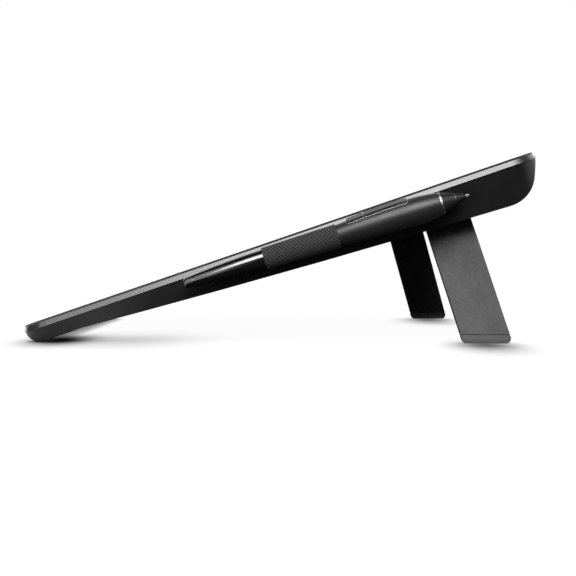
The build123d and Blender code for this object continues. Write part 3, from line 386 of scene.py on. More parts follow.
EFFECTS = {
    "grain": make_grain(),
    "handling": make_handling(),
    "dust": make_dust(),
    "brushing": make_brushing(),
    "yarn": make_yarn(),
    "patch": make_patch(),
}


def shade(colour: Colour, factor: float) -> tuple[float, float, float, float]:
    """Makes a colour lighter or darker.

    Args:
        colour: the colour, linear.
        factor: what its parts are multiplied by.

    Returns:
        The colour with an alpha of 1.
    """
    red, green, blue = (min(1.0, part * factor) for part in colour)
    return red, green, blue, 1.0


def new_material(name: str) -> tuple[bpy.types.Material, Wiring, bpy.types.Node]:
    """Makes a material whose shader is still to be fed.

    Args:
        name: the material's name.

    Returns:
        The material, the wiring of its tree, and its Principled BSDF.
    """
    material = bpy.data.materials.new(name)
    material.use_nodes = True
    return material, Wiring(material.node_tree), material.node_tree.nodes["Principled BSDF"]


@dataclass(frozen=True)
class Finish:
    """A moulded plastic, rubber or painted surface."""

    name: str
    colour: Colour
    roughness: float
    grain: Grain = Grain.FINE
    specular: float = 0.3
    tone: float = 0.12
    handling: float = 0.04
    dust: float = 0.0
    dust_colour: Colour = (0.32, 0.31, 0.3)
    coat: float = 0.0
    coat_roughness: float = 0.08
    coat_index: float = 1.5
    sheen: float = 0.0

    def place(self, wiring: Wiring, effect: str, **values: float) -> bpy.types.Node:
        """Places a shared effect in the material.

        Args:
            wiring: the wiring of the material's tree.
            effect: the effect's key in EFFECTS.
            values: its inputs, by name in small letters.

        Returns:
            The group node.
        """
        node = wiring.add("ShaderNodeGroup", node_tree=EFFECTS[effect])
        for name, value in values.items():
            node.inputs[name.capitalize()].default_value = value
        return node

    def grained(self, wiring: Wiring) -> bpy.types.Node:
        """Places the finish's own grain in the material."""
        return self.place(wiring, "grain", scale=self.grain.scale, pebbles=self.grain.pebbles)

    def drift(self, wiring: Wiring, share: object) -> bpy.types.NodeSocket:
        """Gives the colour, which drifts from darker to lighter with a value from 0 to 1."""
        return wiring.mix(share, shade(self.colour, 1 - self.tone), shade(self.colour, 1 + self.tone))

    def roughen(self, wiring: Wiring, shader: bpy.types.Node) -> None:
        """Feeds the shader's roughness, which handling has changed a little here and there.

        Args:
            wiring: the wiring of the material's tree.
            shader: the shader.
        """
        marks = self.place(wiring, "handling", amount=self.handling)
        rough = wiring.maths("ADD", marks.outputs["Shift"], self.roughness, clamp=True)
        wiring.feed(shader.inputs["Roughness"], rough)

    def bump(self, wiring: Wiring, height: object, relief: float, target: bpy.types.Node) -> None:
        """Feeds a height to the shader's normal through a Bump node.

        Args:
            wiring: the wiring of the material's tree.
            height: the socket of the height.
            relief: the height of its full range in metres.
            target: the shader.
        """
        node = wiring.add("ShaderNodeBump")
        node.inputs["Strength"].default_value = 1.0
        node.inputs["Distance"].default_value = relief
        wiring.feed(node.inputs["Height"], height)
        wiring.feed(target.inputs["Normal"], node.outputs[0])

    def material(self) -> bpy.types.Material:
        """Gives the material, which is built only once."""
        return bpy.data.materials.get(self.name) or self.build()

    def build(self) -> bpy.types.Material:
        """Builds the material.

        Returns:
            The material.
        """
        material, wiring, shader = new_material(self.name)
        grain = self.grained(wiring)
        colour = self.drift(wiring, grain.outputs["Tone"])
        if self.dust:
            dust = self.place(wiring, "dust", amount=self.dust)
            colour = wiring.mix(dust.outputs["Mask"], colour, shade(self.dust_colour, 1))
        wiring.feed(shader.inputs["Base Color"], colour)
        self.roughen(wiring, shader)
        for name, value in (
            ("Specular IOR Level", self.specular), ("Coat Weight", self.coat), ("Coat Roughness", self.coat_roughness),
            ("Coat IOR", self.coat_index), ("Sheen Weight", self.sheen),
        ):
            shader.inputs[name].default_value = value
        self.bump(wiring, grain.outputs["Height"], self.grain.relief, shader)
        return material


@dataclass(frozen=True)
class MetalFinish(Finish):
    """Rolled, brushed or plated metal."""

    line_scale: float = 1500.0
    relief: float = 0.000004

    def build(self) -> bpy.types.Material:
        """Builds the material.

        Returns:
            The material.
        """
        material, wiring, shader = new_material(self.name)
        lines = self.place(wiring, "brushing", scale=self.line_scale)
        wiring.feed(shader.inputs["Base Color"], self.drift(wiring, lines.outputs["Tone"]))
        shader.inputs["Metallic"].default_value = 1.0
        self.roughen(wiring, shader)
        self.bump(wiring, lines.outputs["Height"], self.relief, shader)
        return material


@dataclass(frozen=True)
class TextileFinish(Finish):
    """Ribbed elastic textile, with painted shade in the grooves between its ribs."""

    yarn_scale: float = 2400.0
    relief: float = 0.00006
    # Colour left deep in a groove, as a share of the colour: painted shade.
    groove_share: float = 0.05
    sheen_roughness: float = 0.5

    def build(self) -> bpy.types.Material:
        """Builds the material.

        Returns:
            The material.
        """
        material, wiring, shader = new_material(self.name)
        yarn = self.place(wiring, "yarn", scale=self.yarn_scale)
        ridge = self.drift(wiring, yarn.outputs["Tone"])
        # Painted shade: the colour darkens towards the grooves between the ribs, by the depth that the mesh layer
        # holds.
        groove = wiring.add("ShaderNodeAttribute", attribute_name=GROOVE_SHADE).outputs["Fac"]
        wiring.feed(shader.inputs["Base Color"], wiring.mix(groove, ridge, shade(self.colour, self.groove_share)))
        self.roughen(wiring, shader)
        shader.inputs["Specular IOR Level"].default_value = self.specular
        shader.inputs["Sheen Weight"].default_value = self.sheen
        shader.inputs["Sheen Roughness"].default_value = self.sheen_roughness
        self.bump(wiring, yarn.outputs["Height"], self.relief, shader)
        return material


@dataclass(frozen=True)
class ClearFinish(Finish):
    """Clear or frosted plastic and glass."""

    clearness: float = 0.9
    index: float = 1.49

    def build(self) -> bpy.types.Material:
        """Builds the material.

        Returns:
            The material.
        """
        material, wiring, shader = new_material(self.name)
        grain = self.grained(wiring)
        colour = wiring.mix(grain.outputs["Tone"], shade(self.colour, 1 - self.tone), shade(self.colour, 1))
        wiring.feed(shader.inputs["Base Color"], colour)
        self.roughen(wiring, shader)
        shader.inputs["IOR"].default_value = self.index
        shader.inputs["Transmission Weight"].default_value = self.clearness
        self.bump(wiring, grain.outputs["Height"], self.grain.relief, shader)
        return material


@dataclass(frozen=True)
class BoardFinish(Finish):
    """Circuit board: solder mask over copper tracks."""

    track_spacing: float = 0.0026
    copper: Colour = (0.03, 0.15, 0.08)

    def build(self) -> bpy.types.Material:
        """Builds the material.

        Returns:
            The material.
        """
        material, wiring, shader = new_material(self.name)
        tracks = wiring.cells(wiring.spot(), 1 / self.track_spacing, feature="F1", distance="MANHATTAN")
        on_track = wiring.remap(tracks, 0.3, 0.36)
        wiring.feed(shader.inputs["Base Color"], wiring.mix(on_track, shade(self.copper, 1), shade(self.colour, 1)))
        self.roughen(wiring, shader)
        self.bump(wiring, on_track, self.grain.relief, shader)
        return material


@dataclass(frozen=True)
class Datum:
    """A local frame of the object, with its place and directions in metres."""

    matrix: Matrix

    @staticmethod
    def build(origin: Vector, x_dir: Vector, z_dir: Vector) -> "Datum":
        """Makes a frame from its origin and two directions.

        Args:
            origin: where it stands.
            x_dir: its X direction.
            z_dir: its Z direction.

        Returns:
            The frame.
        """
        z_axis = z_dir.normalized()
        x_axis = (x_dir - x_dir.dot(z_axis) * z_axis).normalized()
        y_axis = z_axis.cross(x_axis)
        matrix = Matrix((x_axis, y_axis, z_axis)).transposed().to_4x4()
        matrix.translation = origin
        return Datum(matrix)

    def world(self, *point: float) -> Vector:
        """Gives the place of a local point in the object's frame."""
        return self.matrix @ Vector(point)

    def local(self, point: Vector) -> Vector:
        """Gives the local place of a point of the object's frame."""
        return self.matrix.inverted() @ point


def node_points(name: str) -> list[Vector]:
    """Gives the corners of a node's mesh.

    Args:
        name: the node's name.

    Returns:
        Its points in metres.
    """
    return [vertex.co.copy() for vertex in frame["nodes"][name].data.vertices]


def find_deck() -> Datum:
    """Finds the frame of the glass: X across, Y towards the rear edge, Z out of the glass.

    Returns:
        The frame, with its origin in the middle of the glass's top.
    """
    largest = max(frame["nodes"]["cover_glass"].data.polygons, key=lambda face: face.area)
    normal = largest.normal.copy()
    if normal.z < 0:
        normal.negate()
    rough = Datum.build(Vector((0, 0, 0)), Vector((1, 0, 0)), normal)
    places = [rough.local(point) for point in node_points("cover_glass")]
    spans = [[place[axis] for place in places] for axis in range(3)]
    origin = rough.world(
        (min(spans[0]) + max(spans[0])) / 2,
        (min(spans[1]) + max(spans[1])) / 2,
        max(spans[2]),
    )
    return Datum.build(origin, Vector((1, 0, 0)), normal)


def find_pen() -> Datum:
    """Finds the frame of the pen: X from its tip to its tail, Y away from the tablet's wall.

    Returns:
        The frame, with its origin at the tip of the nib.
    """
    draw = next(joint for joint in frame["joints"] if joint["child"] == "pen")
    backwards = -Vector(draw["axis"]).normalized()
    low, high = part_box("pen_ring")
    middle = (Vector(low) + Vector(high)) / 2
    reach = min((point - middle).dot(backwards) for point in node_points("pen_nib"))
    sideways = Vector((1, 0, 0))
    return Datum.build(middle + reach * backwards, backwards, backwards.cross(sideways))


def add_object(name: str, data: bpy.types.ID) -> bpy.types.Object:
    """Puts a mesh, a lamp or a camera in the scene."""
    item = bpy.data.objects.new(name, data)
    bpy.context.scene.collection.objects.link(item)
    return item


def cover(mesh: bpy.types.Mesh, material: bpy.types.Material) -> None:
    """Gives a mesh one material in place of any other."""
    mesh.materials.clear()
    mesh.materials.append(material)


def make_piece(
    name: str, mesh: bpy.types.Mesh, material: bpy.types.Material, body: str
) -> bpy.types.Object:
    """Makes an object from a mesh and lets it ride on a body.

    Args:
        name: the piece's name.
        mesh: its mesh, in metres.
        material: its material.
        body: the body that it moves with.

    Returns:
        The object.
    """
    piece = add_object(name, mesh)
    cover(mesh, material)
    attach(piece, body)
    return piece


def smooth(mesh: bpy.types.Mesh, angle: float) -> None:
    """Shades a mesh smooth, with sharp edges where its faces turn by more than an angle.

    Args:
        mesh: the mesh.
        angle: the angle in degrees.
    """
    mesh.shade_smooth()
    mesh.set_sharp_from_angle(angle=math.radians(angle))


def finished(name: str, mesh: bmesh.types.BMesh, angle: float = SMOOTH_ANGLE) -> bpy.types.Mesh:
    """Turns an edit mesh into a mesh, with its faces outwards, and shades it.

    Args:
        name: the new mesh's name.
        mesh: the edit mesh, which is freed.
        angle: the angle in degrees from which an edge stays sharp.

    Returns:
        The mesh.
    """
    bmesh.ops.recalc_face_normals(mesh, faces=mesh.faces[:])
    data = bpy.data.meshes.new(name)
    mesh.to_mesh(data)
    mesh.free()
    smooth(data, angle)
    return data


def belt(mesh: bmesh.types.BMesh, first: Ring, second: Ring) -> None:
    """Lays faces between two closed rings of corners.

    Args:
        mesh: the edit mesh.
        first: the first ring.
        second: the second ring, of as many corners.
    """
    for index in range(len(first)):
        following = (index + 1) % len(first)
        mesh.faces.new((first[index], first[following], second[following], second[index]))


def skin_of(name: str) -> BVHTree:
    """Gives a node's skin, for finding places on it."""
    faces = [list(face.vertices) for face in frame["nodes"][name].data.polygons]
    return BVHTree.FromPolygons(node_points(name), faces)


HOUSING = Finish("housing plastic", (0.009, 0.009, 0.0093), 0.42, Grain.FINE, specular=0.48, dust=0.03)
FRAME_BAND = Finish("frame band", (0.05, 0.05, 0.051), 0.26, Grain.POLISHED, specular=1.0, tone=0.04, coat=1.0,
                    coat_roughness=0.2, handling=0.02)
LEG = Finish("leg plastic", (0.05, 0.05, 0.051), 0.5, Grain.SPARK, specular=0.5, tone=0.35)
RUBBER = Finish("foot rubber", (0.03, 0.03, 0.03), 0.78, Grain.RUBBER, specular=0.2)
LEG_RUBBER = Finish("leg foot rubber", (0.12, 0.12, 0.12), 0.6, Grain.RUBBER, specular=0.45, tone=0.12)
GRIP = Finish("grip rubber", (0.03, 0.03, 0.0305), 0.4, Grain.RUBBER, specular=0.8, sheen=0.1)
BARREL = Finish("barrel gloss", (0.012, 0.012, 0.0125), 0.15, Grain.POLISHED, specular=1.0, coat=1.0, coat_index=1.8,
                coat_roughness=0.06, handling=0.02)
TAIL = Finish("tail plastic", (0.014, 0.014, 0.0145), 0.2, Grain.POLISHED, specular=1.0, coat=1.0, coat_index=1.8,
              coat_roughness=0.12)
CONE = Finish("cone plastic", (0.025, 0.025, 0.0255), 0.36, Grain.SATIN, specular=0.5)
NIB = Finish("nib plastic", (0.5, 0.5, 0.5), 0.4, Grain.SATIN, specular=0.4)
KEY = Finish("key plastic", (0.05, 0.05, 0.052), 0.3, Grain.SATIN, specular=0.5)
BUTTON = Finish("button plastic", (0.03, 0.03, 0.031), 0.35, Grain.SATIN, specular=0.4)
LAMP = ClearFinish("lamp plastic", (0.75, 0.8, 0.86), 0.4, Grain.SATIN, tone=0.05, clearness=0.5)
GUIDE = ClearFinish("light guide acrylic", (0.9, 0.93, 0.92), 0.12, Grain.POLISHED, tone=0.02)
FILM = Finish("diffuser film", (0.8, 0.8, 0.8), 0.6, Grain.SATIN, tone=0.03)
PANEL = Finish("panel glass", (0.012, 0.012, 0.014), 0.2, Grain.POLISHED, specular=0.5)
CHIP = Finish("chip black", (0.018, 0.018, 0.019), 0.5, Grain.SATIN)
FERRITE = Finish("coil ferrite", (0.05, 0.045, 0.04), 0.6, Grain.SATIN)
SHEET_METAL = MetalFinish("sheet metal", (0.62, 0.62, 0.64), 0.38, tone=0.08)
SCREW_STEEL = MetalFinish("screw steel", (0.16, 0.16, 0.165), 0.36, tone=0.1)
SOCKET_STEEL = MetalFinish("socket steel", (0.55, 0.55, 0.56), 0.3, tone=0.08)
HINGE_STEEL = MetalFinish("hinge steel", (0.3, 0.3, 0.31), 0.4, tone=0.1)
BRIGHT_RING = MetalFinish("bright ring", (0.85, 0.85, 0.86), 0.38, tone=0.03, line_scale=2600.0)
BOARD = BoardFinish("circuit board", (0.012, 0.07, 0.035), 0.42)
RIM_METAL = MetalFinish("key rim metal", (0.85, 0.85, 0.86), 0.38, tone=0.03, line_scale=2600.0)
COLLAR_METAL = MetalFinish("collar metal", (0.4, 0.4, 0.41), 0.3, tone=0.03, line_scale=2600.0)
TEXTILE = TextileFinish("loop textile", (0.125, 0.125, 0.128), 0.8, specular=0.2, tone=0.3, sheen=0.2)


@dataclass(frozen=True)
class ScreenFinish(Finish):
    """Etched cover glass, printed black round the active area of the panel."""

    print_colour: Colour = (0.006, 0.006, 0.0065)
    ground_colour: Colour = (0.05, 0.05, 0.051)
    edge: float = 0.0006
    side_facing: float = 0.4
    top_facing: float = 0.85

    def build_over(self, deck: Datum, half_width: float, half_depth: float) -> bpy.types.Material:
        """Builds the material for a panel of a given size.

        Args:
            deck: the frame of the glass.
            half_width: half the width of the active area.
            half_depth: half its depth.

        Returns:
            The material.
        """
        material, wiring, shader = new_material(self.name)
        place = wiring.add("ShaderNodeMapping", vector_type="TEXTURE")
        wiring.feed(place.inputs["Vector"], wiring.spot())
        place.inputs["Location"].default_value = deck.matrix.translation
        place.inputs["Rotation"].default_value = deck.matrix.to_euler()
        split = wiring.split(place.outputs[0])
        sides = []
        for axis, half in (("X", half_width), ("Y", half_depth)):
            reach = wiring.maths("ABSOLUTE", split.outputs[axis])
            sides.append(wiring.remap(reach, half - self.edge, half, 1.0, 0.0))
        active = wiring.maths("MULTIPLY", *sides)
        grain = self.grained(wiring)
        dust = self.place(wiring, "dust", amount=self.dust)
        colour = wiring.mix(active, shade(self.print_colour, 1), shade(self.colour, 1))
        colour = wiring.mix(dust.outputs["Mask"], colour, shade(self.dust_colour, 1))
        facing = wiring.add("ShaderNodeVectorMath", operation="DOT_PRODUCT")
        wiring.feed(facing.inputs[0], wiring.add("ShaderNodeTexCoord").outputs["Normal"])
        facing.inputs[1].default_value = deck.matrix.col[2].to_3d()
        ground = wiring.remap(facing.outputs["Value"], self.side_facing, self.top_facing, 1.0, 0.0)
        colour = wiring.mix(ground, colour, shade(self.ground_colour, 1))
        wiring.feed(shader.inputs["Base Color"], colour)
        self.roughen(wiring, shader)
        shader.inputs["Specular IOR Level"].default_value = self.specular
        self.bump(wiring, grain.outputs["Height"], self.grain.relief, shader)
        return material


SCREEN = ScreenFinish("etched screen glass", (0.013, 0.0135, 0.015), 0.3, Grain.SATIN, specular=0.5, handling=0.008,
                      dust=0.006, dust_colour=GLASS_DUST)


class Part:
    """One sub-assembly: it dresses its nodes, and builds the pieces that the nodes lack."""

    finishes: dict[str, Finish] = {}

    def dress(self) -> None:
        """Gives each node of the sub-assembly its material."""
        for name, finish in self.finishes.items():
            cover(frame["nodes"][name].data, finish.material())
            log.info("dressed %s in %s", name, finish.name)

    def build(self) -> None:
        """Dresses the nodes and adds the extra pieces."""
        self.dress()


class Tablet(Part):
    """Housing, frame, glass, feet and all that they enclose."""

    finishes = {
        "rear_shell": HOUSING, "top_frame": FRAME_BAND, "front_feet": RUBBER, "rear_feet": RUBBER,
        "loop_anchor": HOUSING, "power_button": BUTTON, "lamp_lens": LAMP, "power_switch": CHIP,
        "display_panel": PANEL, "backlight_tray": SHEET_METAL, "light_guide": GUIDE, "diffuser": FILM,
        "sensor_board": BOARD, "shield_plate": SHEET_METAL, "middle_chassis": SHEET_METAL, "main_board": BOARD,
        "board_parts": CHIP, "chassis_screws": SCREW_STEEL, "board_screws": SCREW_STEEL, "port_board": BOARD,
        "cable_socket": SOCKET_STEEL,
    }

    def __init__(self, deck: Datum) -> None:
        """Takes the frame of the glass.

        Args:
            deck: the frame of the glass.
        """
        self.deck = deck

    def build(self) -> None:
        """Dresses the nodes, and the glass over the size of the panel."""
        self.dress()
        places = [self.deck.local(point) for point in node_points("display_panel")]
        half_width = max(place.x for place in places)
        half_depth = max(place.y for place in places)
        cover(frame["nodes"]["cover_glass"].data, SCREEN.build_over(self.deck, half_width, half_depth))
        log.info("dressed cover_glass")


@dataclass
class HousingScrews(Part):
    """Pan-head screws of the housing, with a cross recess in each head."""

    deck: Datum
    segments: int = 28
    spread: float = 0.005
    level: float = 0.0001
    dome: float = 0.35
    dome_steps: int = 6
    dome_power: float = 0.8
    recess_width: float = 0.0004
    recess_reach: float = 0.0011
    recess_depth: float = 0.0007
    recess_taper: float = 0.6
    crease: float = 35

    def islands(self) -> list[list[Vector]]:
        """Sorts the points of the screw node by screw.

        Returns:
            One list of local points for each screw, in the frame of the glass.
        """
        groups: list[list[Vector]] = []
        for point in node_points("housing_screws"):
            place = self.deck.local(point)
            for group in groups:
                if (group[0] - place).to_2d().length < self.spread:
                    group.append(place)
                    break
            else:
                groups.append([place])
        return groups

    def profile(self, group: list[Vector]) -> tuple[Vector, list[Pair]]:
        """Reads one screw's middle and its turned profile.

        Args:
            group: the screw's local points.

        Returns:
            Its middle, and the points of its profile as radius and height, from the tip down to the head.
        """
        across = [place.x for place in group]
        along = [place.y for place in group]
        middle = Vector(((min(across) + max(across)) / 2, (min(along) + max(along)) / 2, 0))
        top = max(place.z for place in group)
        bottom = min(place.z for place in group)
        head = max((place - middle).to_2d().length for place in group)
        shank = max((place - middle).to_2d().length for place in group if top - place.z < self.level)
        seat = max(place.z for place in group if (place - middle).to_2d().length > head - self.level)
        dome = (seat - bottom) * self.dome
        outline = [(0.0, top), (shank, top), (shank, seat), (head, seat), (head, bottom + dome)]
        for step in range(1, self.dome_steps + 1):
            angle = math.pi / 2 * step / self.dome_steps
            outline.append((head * math.cos(angle) ** self.dome_power, bottom + dome * (1 - math.sin(angle))))
        return middle, outline

    def turned(self, middle: Vector, outline: list[Pair]) -> bmesh.types.BMesh:
        """Turns a profile about its middle.

        Args:
            middle: the screw's middle.
            outline: its profile as radius and height.

        Returns:
            The turned mesh in the frame of the glass.
        """
        mesh = bmesh.new()
        edge = [mesh.verts.new((middle.x + radius, middle.y, height)) for radius, height in outline]
        for first, second in zip(edge, edge[1:]):
            mesh.edges.new((first, second))
        bmesh.ops.spin(
            mesh, geom=mesh.verts[:] + mesh.edges[:], cent=middle, axis=(0, 0, 1), angle=2 * math.pi,
            steps=self.segments, use_duplicate=False,
        )
        bmesh.ops.remove_doubles(mesh, verts=mesh.verts[:], dist=0.01 * MM)
        bmesh.ops.recalc_face_normals(mesh, faces=mesh.faces[:])
        return mesh

    def recess(self, middle: Vector, bottom: float) -> bmesh.types.BMesh:
        """Makes the cross that is cut into a head.

        Args:
            middle: the screw's middle.
            bottom: the height of the head's outer end.

        Returns:
            The cutter in the frame of the glass.
        """
        half, reach = self.recess_width / 2, self.recess_reach
        quarter = [(half, half), (half, reach), (-half, reach)]
        outline = []
        for turn in range(4):
            angle = math.pi / 2 * turn
            for across, along in quarter:
                outline.append((
                    across * math.cos(angle) - along * math.sin(angle),
                    across * math.sin(angle) + along * math.cos(angle),
                ))
        mesh = bmesh.new()
        low, high = (
            [mesh.verts.new((middle.x + x * taper, middle.y + y * taper, height)) for x, y in outline]
            for taper, height in ((1.0, bottom - MM), (self.recess_taper, bottom + self.recess_depth))
        )
        mesh.faces.new(low)
        mesh.faces.new(list(reversed(high)))
        belt(mesh, low, high)
        bmesh.ops.recalc_face_normals(mesh, faces=mesh.faces[:])
        return mesh

    def build(self) -> None:
        """Builds all the screws as one piece that stands for the node."""
        screws, cutters = bmesh.new(), bmesh.new()
        for group in self.islands():
            middle, outline = self.profile(group)
            for target, source in (
                (screws, self.turned(middle, outline)),
                (cutters, self.recess(middle, outline[-1][1])),
            ):
                holder = bpy.data.meshes.new("part of screws")
                source.to_mesh(holder)
                source.free()
                target.from_mesh(holder)
                bpy.data.meshes.remove(holder)
        objects = []
        for name, source in (("cross-recessed screws", screws), ("screw cutters", cutters)):
            source.transform(self.deck.matrix)
            mesh = bpy.data.meshes.new(name)
            source.to_mesh(mesh)
            source.free()
            objects.append(add_object(name, mesh))
        body, cutter = objects
        cut = body.modifiers.new("recess", "BOOLEAN")
        cut.operation = "DIFFERENCE"
        cut.object = cutter
        mesh = bpy.data.meshes.new_from_object(body.evaluated_get(bpy.context.evaluated_depsgraph_get()))
        for item in objects:
            bpy.data.objects.remove(item)
        smooth(mesh, self.crease)
        piece = make_piece("housing_screw_set", mesh, SCREW_STEEL.material(), "tablet")
        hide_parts("housing_screws")
        log.info("built %s", piece.name)


class Legs(Part):
    """The two folding legs, with their rubber feet and hinges."""

    finishes = {
        "leg_left": LEG, "leg_right": LEG, "leg_foot_left": LEG_RUBBER, "leg_foot_right": LEG_RUBBER,
        "hinge_bracket_left": HINGE_STEEL, "hinge_bracket_right": HINGE_STEEL, "hinge_pin_left": HINGE_STEEL,
        "hinge_pin_right": HINGE_STEEL, "hinge_screws": SCREW_STEEL,
    }


class Pen(Part):
    """The pen, with its rocker key."""

    finishes = {
        "pen_grip": GRIP, "pen_tube": HOUSING, "pen_barrel": BARREL, "pen_ring": BRIGHT_RING, "pen_cone": CONE,
        "pen_coil": FERRITE, "force_sensor": CHIP, "pen_board": BOARD, "switch_pin": SCREW_STEEL,
        "pen_nib": NIB, "pen_eraser": TAIL, "side_switch": KEY,
    }


@dataclass
class FootSeams(Part):
    """Thin layer that joins each rubber foot to its leg and shows as a dark groove between them."""

    inset: float = 0.00025
    level: float = 0.00002
    downward: float = -0.99

    def sole(self, leg: str, top: float) -> float:
        """Finds how high the leg's end face over the foot lies.

        Args:
            leg: the leg's node.
            top: the height of the foot's top.

        Returns:
            The height of the face.
        """
        faces = [face for face in frame["nodes"][leg].data.polygons if face.normal.z < self.downward]
        return min(face.center.z for face in faces if face.center.z > top + self.level / 2)

    def build(self) -> None:
        """Builds one layer for each leg."""
        for side in ("left", "right"):
            foot, leg = f"leg_foot_{side}", f"leg_{side}"
            top = Vector(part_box(foot)[1]).z
            gap = self.sole(leg, top) - top
            mesh = bmesh.new()
            mesh.from_mesh(frame["nodes"][foot].data)
            away = [face for face in mesh.faces if abs(face.calc_center_median().z - top) > self.level]
            bmesh.ops.delete(mesh, geom=away, context="FACES")
            bmesh.ops.dissolve_faces(mesh, faces=mesh.faces[:])
            border = bmesh.ops.inset_region(mesh, faces=mesh.faces[:], thickness=self.inset, use_boundary=True)
            bmesh.ops.delete(mesh, geom=border["faces"], context="FACES")
            raised = bmesh.ops.extrude_face_region(mesh, geom=mesh.faces[:])
            corners = [item for item in raised["geom"] if isinstance(item, bmesh.types.BMVert)]
            bmesh.ops.translate(mesh, verts=corners, vec=(0, 0, gap))
            bmesh.ops.recalc_face_normals(mesh, faces=mesh.faces[:])
            data = bpy.data.meshes.new(f"foot seam {side}")
            mesh.to_mesh(data)
            mesh.free()
            piece = make_piece(f"leg_foot_seam_{side}", data, RUBBER.material(), leg)
            log.info("built %s, %.2f mm thick", piece.name, gap / MM)


@dataclass
class KeyDetail(Part):
    """Fine cross ribs on the longer part of the rocker key, and the bright rim of its opening in the grip."""

    pen: Datum
    rib_spacing: float = 0.00105
    rib_radius: float = 0.0003
    rib_height: float = 0.00016
    rib_square: int = 6
    rib_least: float = 0.02
    rib_steps: int = 12
    ring_steps: int = 10
    end_margin: float = 0.0017
    side_margin: float = 0.0007
    groove_share: float = 0.722
    rim_radius: float = 0.00013
    top_corners: int = 12
    lip_margin: float = 0.002
    lip_radius: float = 0.0045
    wall_facing: float = 0.4
    skin_facing: float = 0.7
    shortest_run: int = 8
    reach: float = 0.02

    def measure(self) -> None:
        """Reads where the key lies and which way it faces."""
        places = [self.pen.local(point) for point in node_points("side_switch")]
        self.start = min(place.x for place in places)
        self.end = max(place.x for place in places)
        tops = sorted(places, key=lambda place: place.yz.length)[-self.top_corners:]
        middle = sum((place.yz for place in tops), Vector((0, 0)))
        self.turn = math.atan2(middle.y, middle.x)
        across = [place.z * math.cos(self.turn) - place.y * math.sin(self.turn) for place in places]
        self.half_width = (max(across) - min(across)) / 2

    def direction(self, along: float, across: float, out: float) -> Vector:
        """Turns a direction of the key into one of the object's frame.

        Args:
            along: its part along the pen.
            across: its part across the key.
            out: its part out of the key.

        Returns:
            The direction.
        """
        y = out * math.cos(self.turn) - across * math.sin(self.turn)
        z = out * math.sin(self.turn) + across * math.cos(self.turn)
        return self.pen.matrix.to_3x3() @ Vector((along, y, z))

    def ribs(self) -> bpy.types.Mesh:
        """Builds the ribs, each laid over the key's crowned top.

        Returns:
            Their mesh.
        """
        skin = skin_of("side_switch")
        mesh = bmesh.new()
        out, axis = self.direction(0, 0, 1), self.direction(1, 0, 0)
        last = self.start + (self.end - self.start) * self.groove_share - self.end_margin
        half = self.half_width - self.side_margin
        count = int((last - self.start - self.end_margin) / self.rib_spacing)
        for rib in range(count + 1):
            along = self.start + self.end_margin + rib * self.rib_spacing
            rings = []
            for step in range(self.rib_steps + 1):
                share = step / self.rib_steps * 2 - 1
                origin = self.pen.matrix.translation + self.direction(along, share * half, self.reach)
                spot = skin.ray_cast(origin, -out)[0]
                size = math.sqrt(max(self.rib_least, 1 - abs(share) ** self.rib_square))
                ring = []
                for turn in range(self.ring_steps):
                    angle = 2 * math.pi * turn / self.ring_steps
                    side = axis * math.cos(angle) * self.rib_radius
                    rise = out * (math.sin(angle) * 2 - 1) * self.rib_height
                    ring.append(mesh.verts.new(spot + (side + rise) * size))
                rings.append(ring)
            for first, second in zip(rings, rings[1:]):
                belt(mesh, first, second)
            mesh.faces.new(rings[0])
            mesh.faces.new(list(reversed(rings[-1])))
        return finished("key ribs", mesh)

    def lip(self) -> list[list[Vector]]:
        """Finds the edge of the key's opening where it meets the outside of the grip.

        Returns:
            Its runs of points.
        """
        mesh = bmesh.new()
        mesh.from_mesh(frame["nodes"]["pen_grip"].data)
        bmesh.ops.remove_doubles(mesh, verts=mesh.verts[:], dist=0.002 * MM)
        out = self.direction(0, 0, 1)
        edges = []
        for edge in mesh.edges:
            if len(edge.link_faces) != 2:
                continue
            middle = self.pen.local((edge.verts[0].co + edge.verts[1].co) / 2)
            beside = self.start - self.lip_margin < middle.x < self.end + self.lip_margin
            if not beside or middle.yz.length < self.lip_radius:
                continue
            facing = sorted(face.normal.dot(out) for face in edge.link_faces)
            if facing[0] < self.wall_facing and facing[1] > self.skin_facing:
                edges.append(edge)
        following: dict[int, Ring] = {}
        for edge in edges:
            first, second = edge.verts
            following.setdefault(first.index, []).append(second)
            following.setdefault(second.index, []).append(first)
        runs = []
        seen: set[int] = set()
        for edge in edges:
            if edge.verts[0].index in seen:
                continue
            run = [edge.verts[0]]
            seen.add(run[0].index)
            while True:
                ahead = [vertex for vertex in following[run[-1].index] if vertex.index not in seen]
                if not ahead:
                    break
                run.append(ahead[0])
                seen.add(ahead[0].index)
            if len(run) > self.shortest_run:
                runs.append([vertex.co.copy() for vertex in run])
        mesh.free()
        return runs

    def rim(self) -> bpy.types.Mesh:
        """Builds the rim as a thin round bead along the edge of the opening.

        Returns:
            Its mesh.
        """
        curve = bpy.data.curves.new("key rim", "CURVE")
        curve.dimensions = "3D"
        curve.bevel_depth = self.rim_radius
        curve.bevel_resolution = 2
        for run in self.lip():
            spline = curve.splines.new("POLY")
            spline.points.add(len(run) - 1)
            for point, place in zip(spline.points, run):
                point.co = (*place, 1)
            spline.use_cyclic_u = True
        holder = bpy.data.objects.new("key rim", curve)
        data = bpy.data.meshes.new_from_object(holder)
        bpy.data.objects.remove(holder)
        smooth(data, SMOOTH_ANGLE)
        return data

    def build(self) -> None:
        """Builds the ribs, which ride on the key, and the rim, which rides on the pen."""
        self.measure()
        ribs = make_piece("key_ribs", self.ribs(), KEY.material(), "side_switch")
        rim = make_piece("key_rim", self.rim(), RIM_METAL.material(), "pen")
        log.info("built %s and %s", ribs.name, rim.name)


